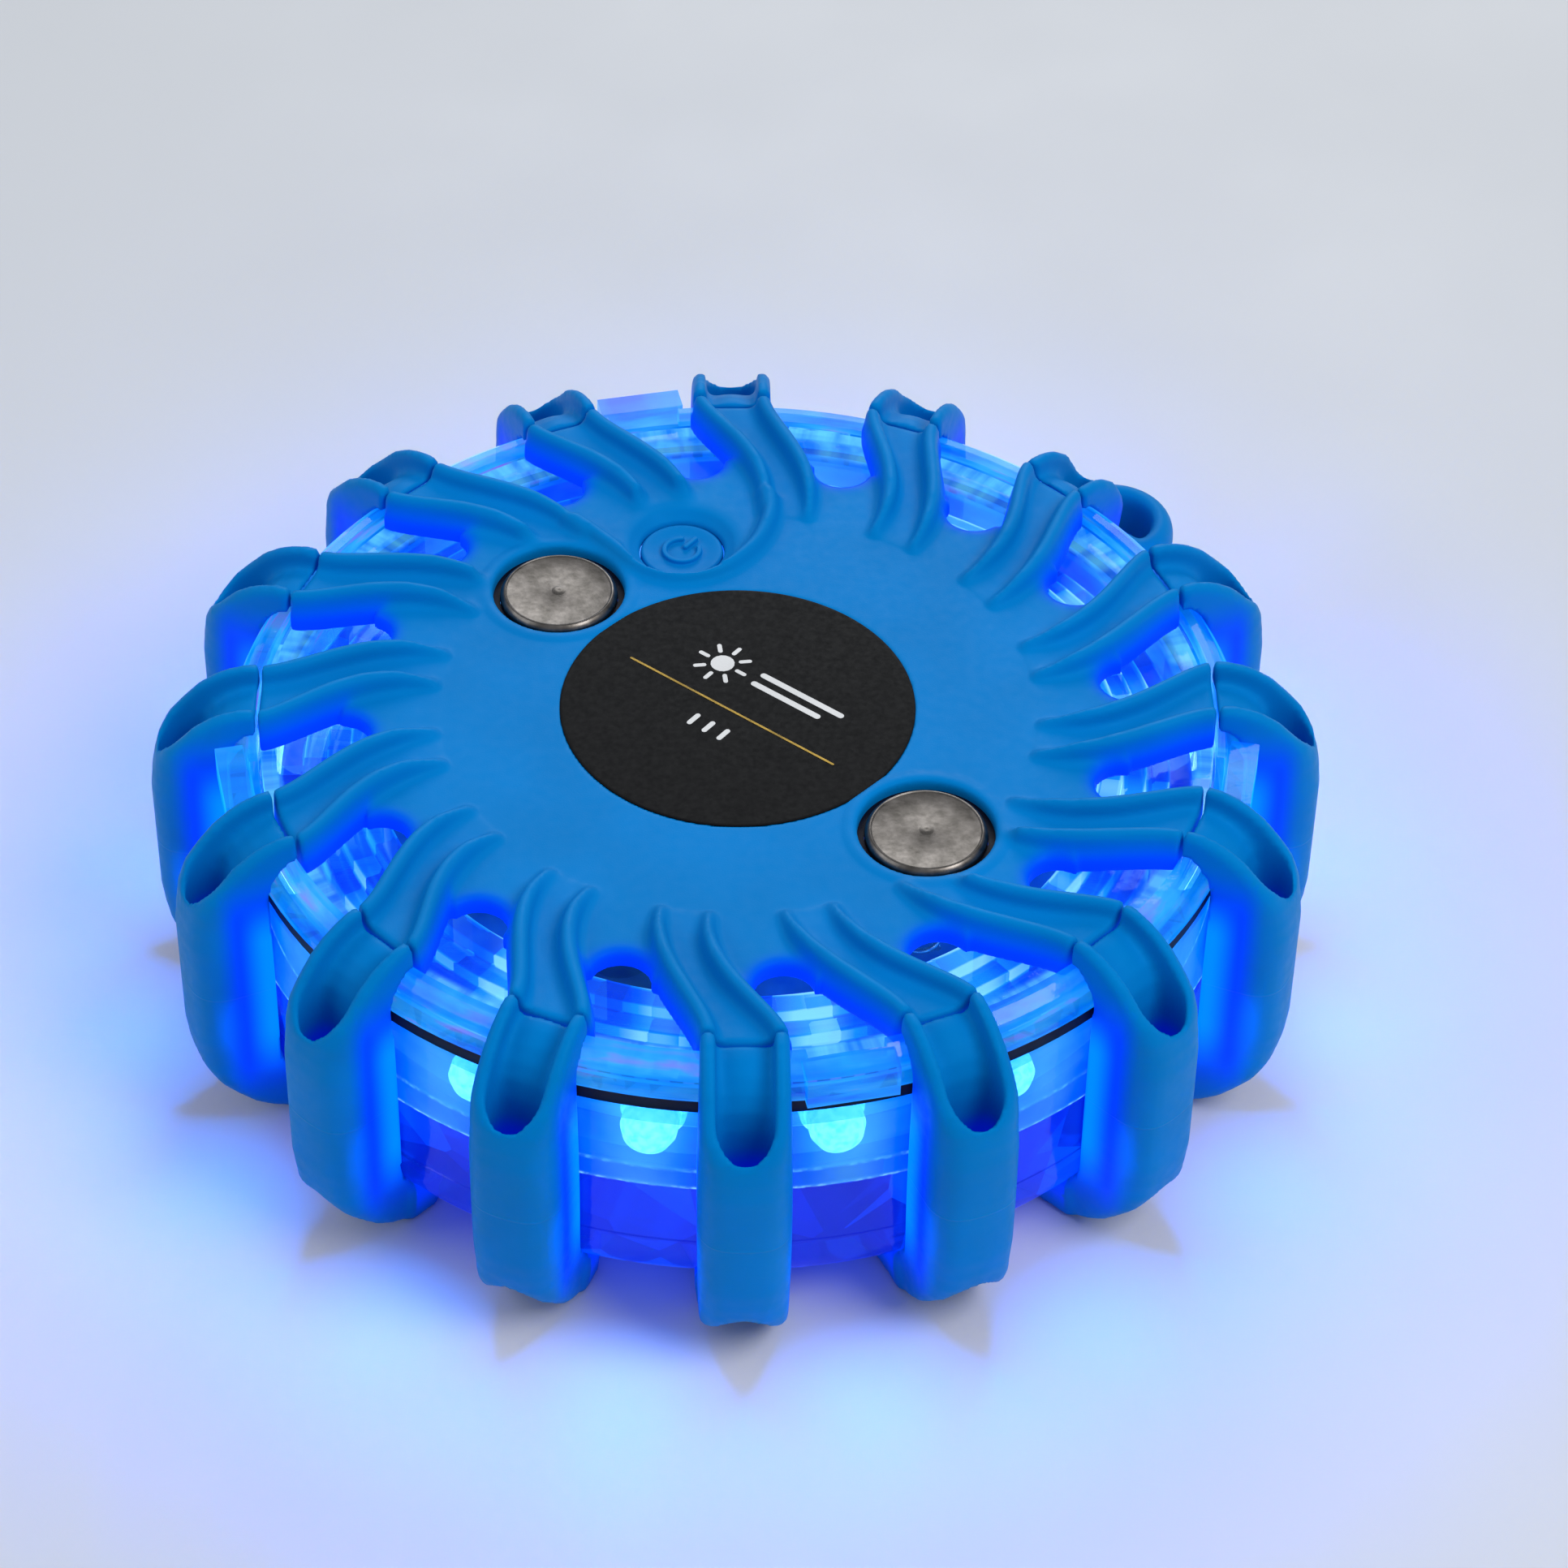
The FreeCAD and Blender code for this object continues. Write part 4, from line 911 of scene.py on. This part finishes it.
# ------------------------------------------------------------------ pieces
COVER_VOXEL = 0.28
BUMPER_VOXEL = 0.35
BUTTON_VOXEL = 0.07
LENS_OUTLINE = [(0, LENS_BOTTOM), (42.9, LENS_BOTTOM), (44.2, 4.5), (45.3, 5.2), (46.0, 6.3), (46.15, 7.4),
                (46.15, LOW_LINE - 0.1), (46.05, LOW_LINE), (46.15, LOW_LINE + 0.1),
                (46.15, STEP_LINE - 0.1), (46.3, STEP_LINE), (46.3, 25.6), (44.3, 25.6), (44.3, 7.7),
                (43.9, 6.7), (42.8, 6.2), (0, 6.2)]
PILLAR_CORNERS = (45, 135, 225, 315)
PILLAR_AT = 34
PILLAR_OUTLINE = [(1.0, 6.15), (2.4, 6.15), (2.4, 13.95), (1.0, 13.95)]


def add_rubber():
    """The cover, the bumper and the button, carved from their fields."""
    cover = carve("top_cover_rubber", cover_field, (-44, -44, 28.2), (44, 44, 33.6), COVER_VOXEL, cover_light)
    stand_in(cover, "top_cover")
    bumper = carve("bumper_rubber", bumper_field, (-54.4, -54.4, -0.5), (58.6, 58.6, 33.5), BUMPER_VOXEL,
                   bumper_light)
    stand_in(bumper, "bumper")
    x0, y0 = BUTTON_AT
    button = carve("power_button_dish", button_field, (x0 - 4.3, y0 - 4.3, 27.6), (x0 + 4.3, y0 + 4.3, 30.3),
                   BUTTON_VOXEL, no_light)
    stand_in(button, "power_button")


def add_lens():
    """The clear pot, with its mould steps and the four screw pillars inside."""
    points, faces = turn(LENS_OUTLINE)
    for corner in PILLAR_CORNERS:
        x0 = PILLAR_AT * math.cos(math.radians(corner))
        y0 = PILLAR_AT * math.sin(math.radians(corner))
        more, walls = turn(PILLAR_OUTLINE, 32, x0, y0)
        faces += [tuple(len(points) + i for i in wall) for wall in walls]
        points += more
    stand_in(cleaned(new_object("lower_lens_pot", points, faces)), "lower_lens")


def add_pad(side):
    """A contact disc: a bevelled edge, a raised rim, a flat face and a small nub in the middle."""
    low, high = heights_of("contact_pad_" + side)
    outline = [(0, low), (5.2, low), (5.45, low + 0.3), (5.45, high - 0.45), (5.42, high - 0.38),
               (5.12, high - 0.04), (5.05, high), (4.95, high), (4.88, high - 0.06), (4.8, high - 0.08),
               (0.7, high - 0.08), (0.6, high - 0.06), (0.42, high), (0.12, high), (0, high - 0.02)]
    pad = turned("contact_disc_" + side, outline, 96)
    x0, y0 = PADS[side]
    pad.location = (x0 * MM, y0 * MM, 0)
    stand_in(pad, "contact_pad_" + side)


# ------------------------------------------------------------------ label
LABEL_RADIUS = 16.1
LABEL_FOOT = 15.8
LABEL_RISE = 0.08
INK = 0.03
GOLD_LINE = (-11.6, -1.0, 11.6, -1.0)
GOLD_WIDTH = 0.22
SUN_AT = (-4.6, 3.6)
SUN_WIDTH = 2.2
RAYS = 8
RAY_START = 1.7
RAY_END = 2.5
RAY_WIDTH = 0.42
LONG_BARS = [(-0.6, 4.6, 8.2, 4.6), (-0.6, 3.2, 6.6, 3.2)]
LONG_BAR_WIDTH = 0.62
SHORT_BARS = 3
SHORT_BARS_FROM = -1.9
SHORT_BARS_APART = 1.7
SHORT_BARS_SPAN = (-4.6, -3.4)
SHORT_BAR_WIDTH = 0.5


def bar_outline(x0, y0, x1, y1, width, ends=8):
    """A flat bar with round ends, as a loop of points."""
    way = math.atan2(y1 - y0, x1 - x0)
    loop = []
    for x, y, start in ((x1, y1, way - math.pi / 2), (x0, y0, way + math.pi / 2)):
        for i in range(ends + 1):
            a = start + math.pi * i / ends
            loop.append((x + width / 2 * math.cos(a), y + width / 2 * math.sin(a)))
    return loop


def on_label(u, v):
    """A place on the label, from one along the gold line and one across it."""
    along, across = math.cos(LABEL_LEAN), math.sin(LABEL_LEAN)
    return u * along - v * across, u * across + v * along


def label_bar(u0, v0, u1, v1, width):
    return bar_outline(*on_label(u0, v0), *on_label(u1, v1), width)


def add_print(name, loops, look, level):
    """Thin raised ink on the label."""
    points, faces = [], []
    for loop in loops:
        first, count = len(points), len(loop)
        points += [(x, y, level) for x, y in loop] + [(x, y, level + INK) for x, y in loop]
        faces.append(tuple(first + count + i for i in range(count)))
        faces.append(tuple(first + i for i in reversed(range(count))))
        for i in range(count):
            j = (i + 1) % count
            faces.append((first + i, first + j, first + count + j, first + count + i))
    ink = new_object(name, points, faces, smooth=False)
    ink.data.materials.append(look)
    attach(ink, "cap")


def add_label():
    """The plain black disc, with a gold line, a generic lamp sign and two rows of bars."""
    low, high = heights_of("label_disc")
    high += LABEL_RISE
    foot, rim = LABEL_FOOT, LABEL_RADIUS
    outline = [(0, low), (foot, low), (foot, high - 0.12), (rim, high - 0.1), (rim - 0.02, high - 0.03),
               (rim - 0.15, high), (foot, high), (0, high)]
    stand_in(turned("label_sticker", outline, 192), "label_disc")
    gold = solid_look("label_gold", (0.35, 0.22, 0.03), 0.4, 0.6, vary=0.35, patch=1.5)
    white = solid_look("label_white", (0.75, 0.75, 0.75), 0.5, vary=0.05)
    add_print("label_line", [label_bar(*GOLD_LINE, GOLD_WIDTH)], gold, high)
    marks = []
    u, v = SUN_AT
    for ray in range(RAYS):
        a = 2 * math.pi / RAYS * ray
        marks.append(label_bar(u + RAY_START * math.cos(a), v + RAY_START * math.sin(a),
                               u + RAY_END * math.cos(a), v + RAY_END * math.sin(a), RAY_WIDTH))
    marks.append(label_bar(u, v, u + 0.01, v, SUN_WIDTH))
    marks += [label_bar(*bar, LONG_BAR_WIDTH) for bar in LONG_BARS]
    for k in range(SHORT_BARS):
        along = SHORT_BARS_FROM + SHORT_BARS_APART * k
        near, far = SHORT_BARS_SPAN
        marks.append(label_bar(along, near, along, far, SHORT_BAR_WIDTH))
    add_print("label_marks", marks, white, high)


add_rubber()
add_lens()
add_pad("positive")
add_pad("negative")
add_label()


# ------------------------------------------------------------------ stage, lights and camera
FLOOR_HALF = 4000
FLOOR_DARK = (0.66, 0.67, 0.69)
FLOOR_LIGHT = (0.70, 0.71, 0.73)
LAMP_LIGHT = (0.0, 0.22, 1.0)
LAMP_LIGHT_OUT = 0.3
LAMP_LIGHT_SIZE = 4
LAMP_LIGHT_POWER = 0.004
LAMP_LIGHT_SPREAD = math.radians(100)
LAMP_LIGHT_DROP = 8
SKY_STRENGTH = 0.42
CAMERA_LENS = 109.1
CAMERA_AT = (-6.2, -321.8, 315.8)
CAMERA_RIGHT = (0.99970, -0.02055, 0.01323)
CAMERA_UP = (0.00412, 0.67537, 0.73746)
# place, width across and power of each softbox, and its colour
SOFTBOXES = {
    "key": ((420, -260, 620), 420, 3.0, (1, 1, 1)),
    "fill": ((-520, -60, 420), 500, 1.0, (0.9, 0.95, 1)),
    "back": ((60, 620, 380), 400, 1.2, (0.95, 0.98, 1)),
}
SKY = (0.80, 0.85, 0.92, 1)


def add_floor():
    """A plain pale floor."""
    half = FLOOR_HALF
    corners = [(-half, -half, 0), (half, -half, 0), (half, half, 0), (-half, half, 0)]
    floor = new_object("floor", corners, [(0, 1, 2, 3)], smooth=False)
    look = Look("floor")
    values = {
        "Base Color": look.shades(look.noise(400.0, 3.0), (0.3, FLOOR_DARK), (0.7, FLOOR_LIGHT)),
        "Roughness": look.between(look.noise(30.0, 3.0), 0.3, 0.7, 0.5, 0.65),
        "Normal": look.bump(look.noise(1.0, 2.0), 0.01, 0.3),
    }
    floor.data.materials.append(look.finish(look.add("BsdfPrincipled", values)))


def add_disc_light(name, place, target, size, power, colour):
    """A round area light at a place, facing a target; all in millimetres."""
    light = bpy.data.lights.new(name, "AREA")
    light.shape = "DISK"
    light.size = size * MM
    light.energy = power
    light.color = colour
    obj = add_object(name, light)
    obj.location = Vector(place) * MM
    way = (Vector(target) - Vector(place)).normalized()
    obj.rotation_euler = way.to_track_quat("-Z", "Y").to_euler()
    return obj


def add_lamp_light(index):
    """The light that one lamp throws outwards and down, past the lens."""
    angle = PITCH * (index + 0.5)
    out = Vector((math.cos(angle), math.sin(angle), 0))
    start = out * (LENS_RADIUS + LAMP_LIGHT_OUT) + Vector((0, 0, LAMP_HEIGHT))
    target = start + out * 10 - Vector((0, 0, LAMP_LIGHT_DROP))
    lamp = add_disc_light(f"lamp_{index}", start, target, LAMP_LIGHT_SIZE, LAMP_LIGHT_POWER, LAMP_LIGHT)
    lamp.data.spread = LAMP_LIGHT_SPREAD
    lamp.visible_camera = False


def add_camera():
    """The photograph's view: 43 degrees up, from the front."""
    data = bpy.data.cameras.new("camera")
    data.lens = CAMERA_LENS
    data.clip_start = 0.01
    camera = add_object("camera", data)
    right = Vector(CAMERA_RIGHT)
    up = Vector(CAMERA_UP)
    place = Vector(CAMERA_AT) * MM
    axes = Matrix((right, up, right.cross(up))).transposed().to_4x4()
    camera.matrix_world = Matrix.Translation(place) @ axes
    bpy.context.scene.camera = camera


def add_world():
    world = bpy.data.worlds.new("studio")
    world.use_nodes = True
    background = world.node_tree.nodes["Background"]
    background.inputs["Color"].default_value = SKY
    background.inputs["Strength"].default_value = SKY_STRENGTH
    bpy.context.scene.world = world


add_floor()
for softbox, (place, size, power, colour) in SOFTBOXES.items():
    add_disc_light(softbox, place, (0, 0, MIDDLE), size, power, colour)
for lamp in range(LAMPS):
    add_lamp_light(lamp)
add_world()
add_camera()
bpy.context.scene.view_settings.view_transform = "Standard"
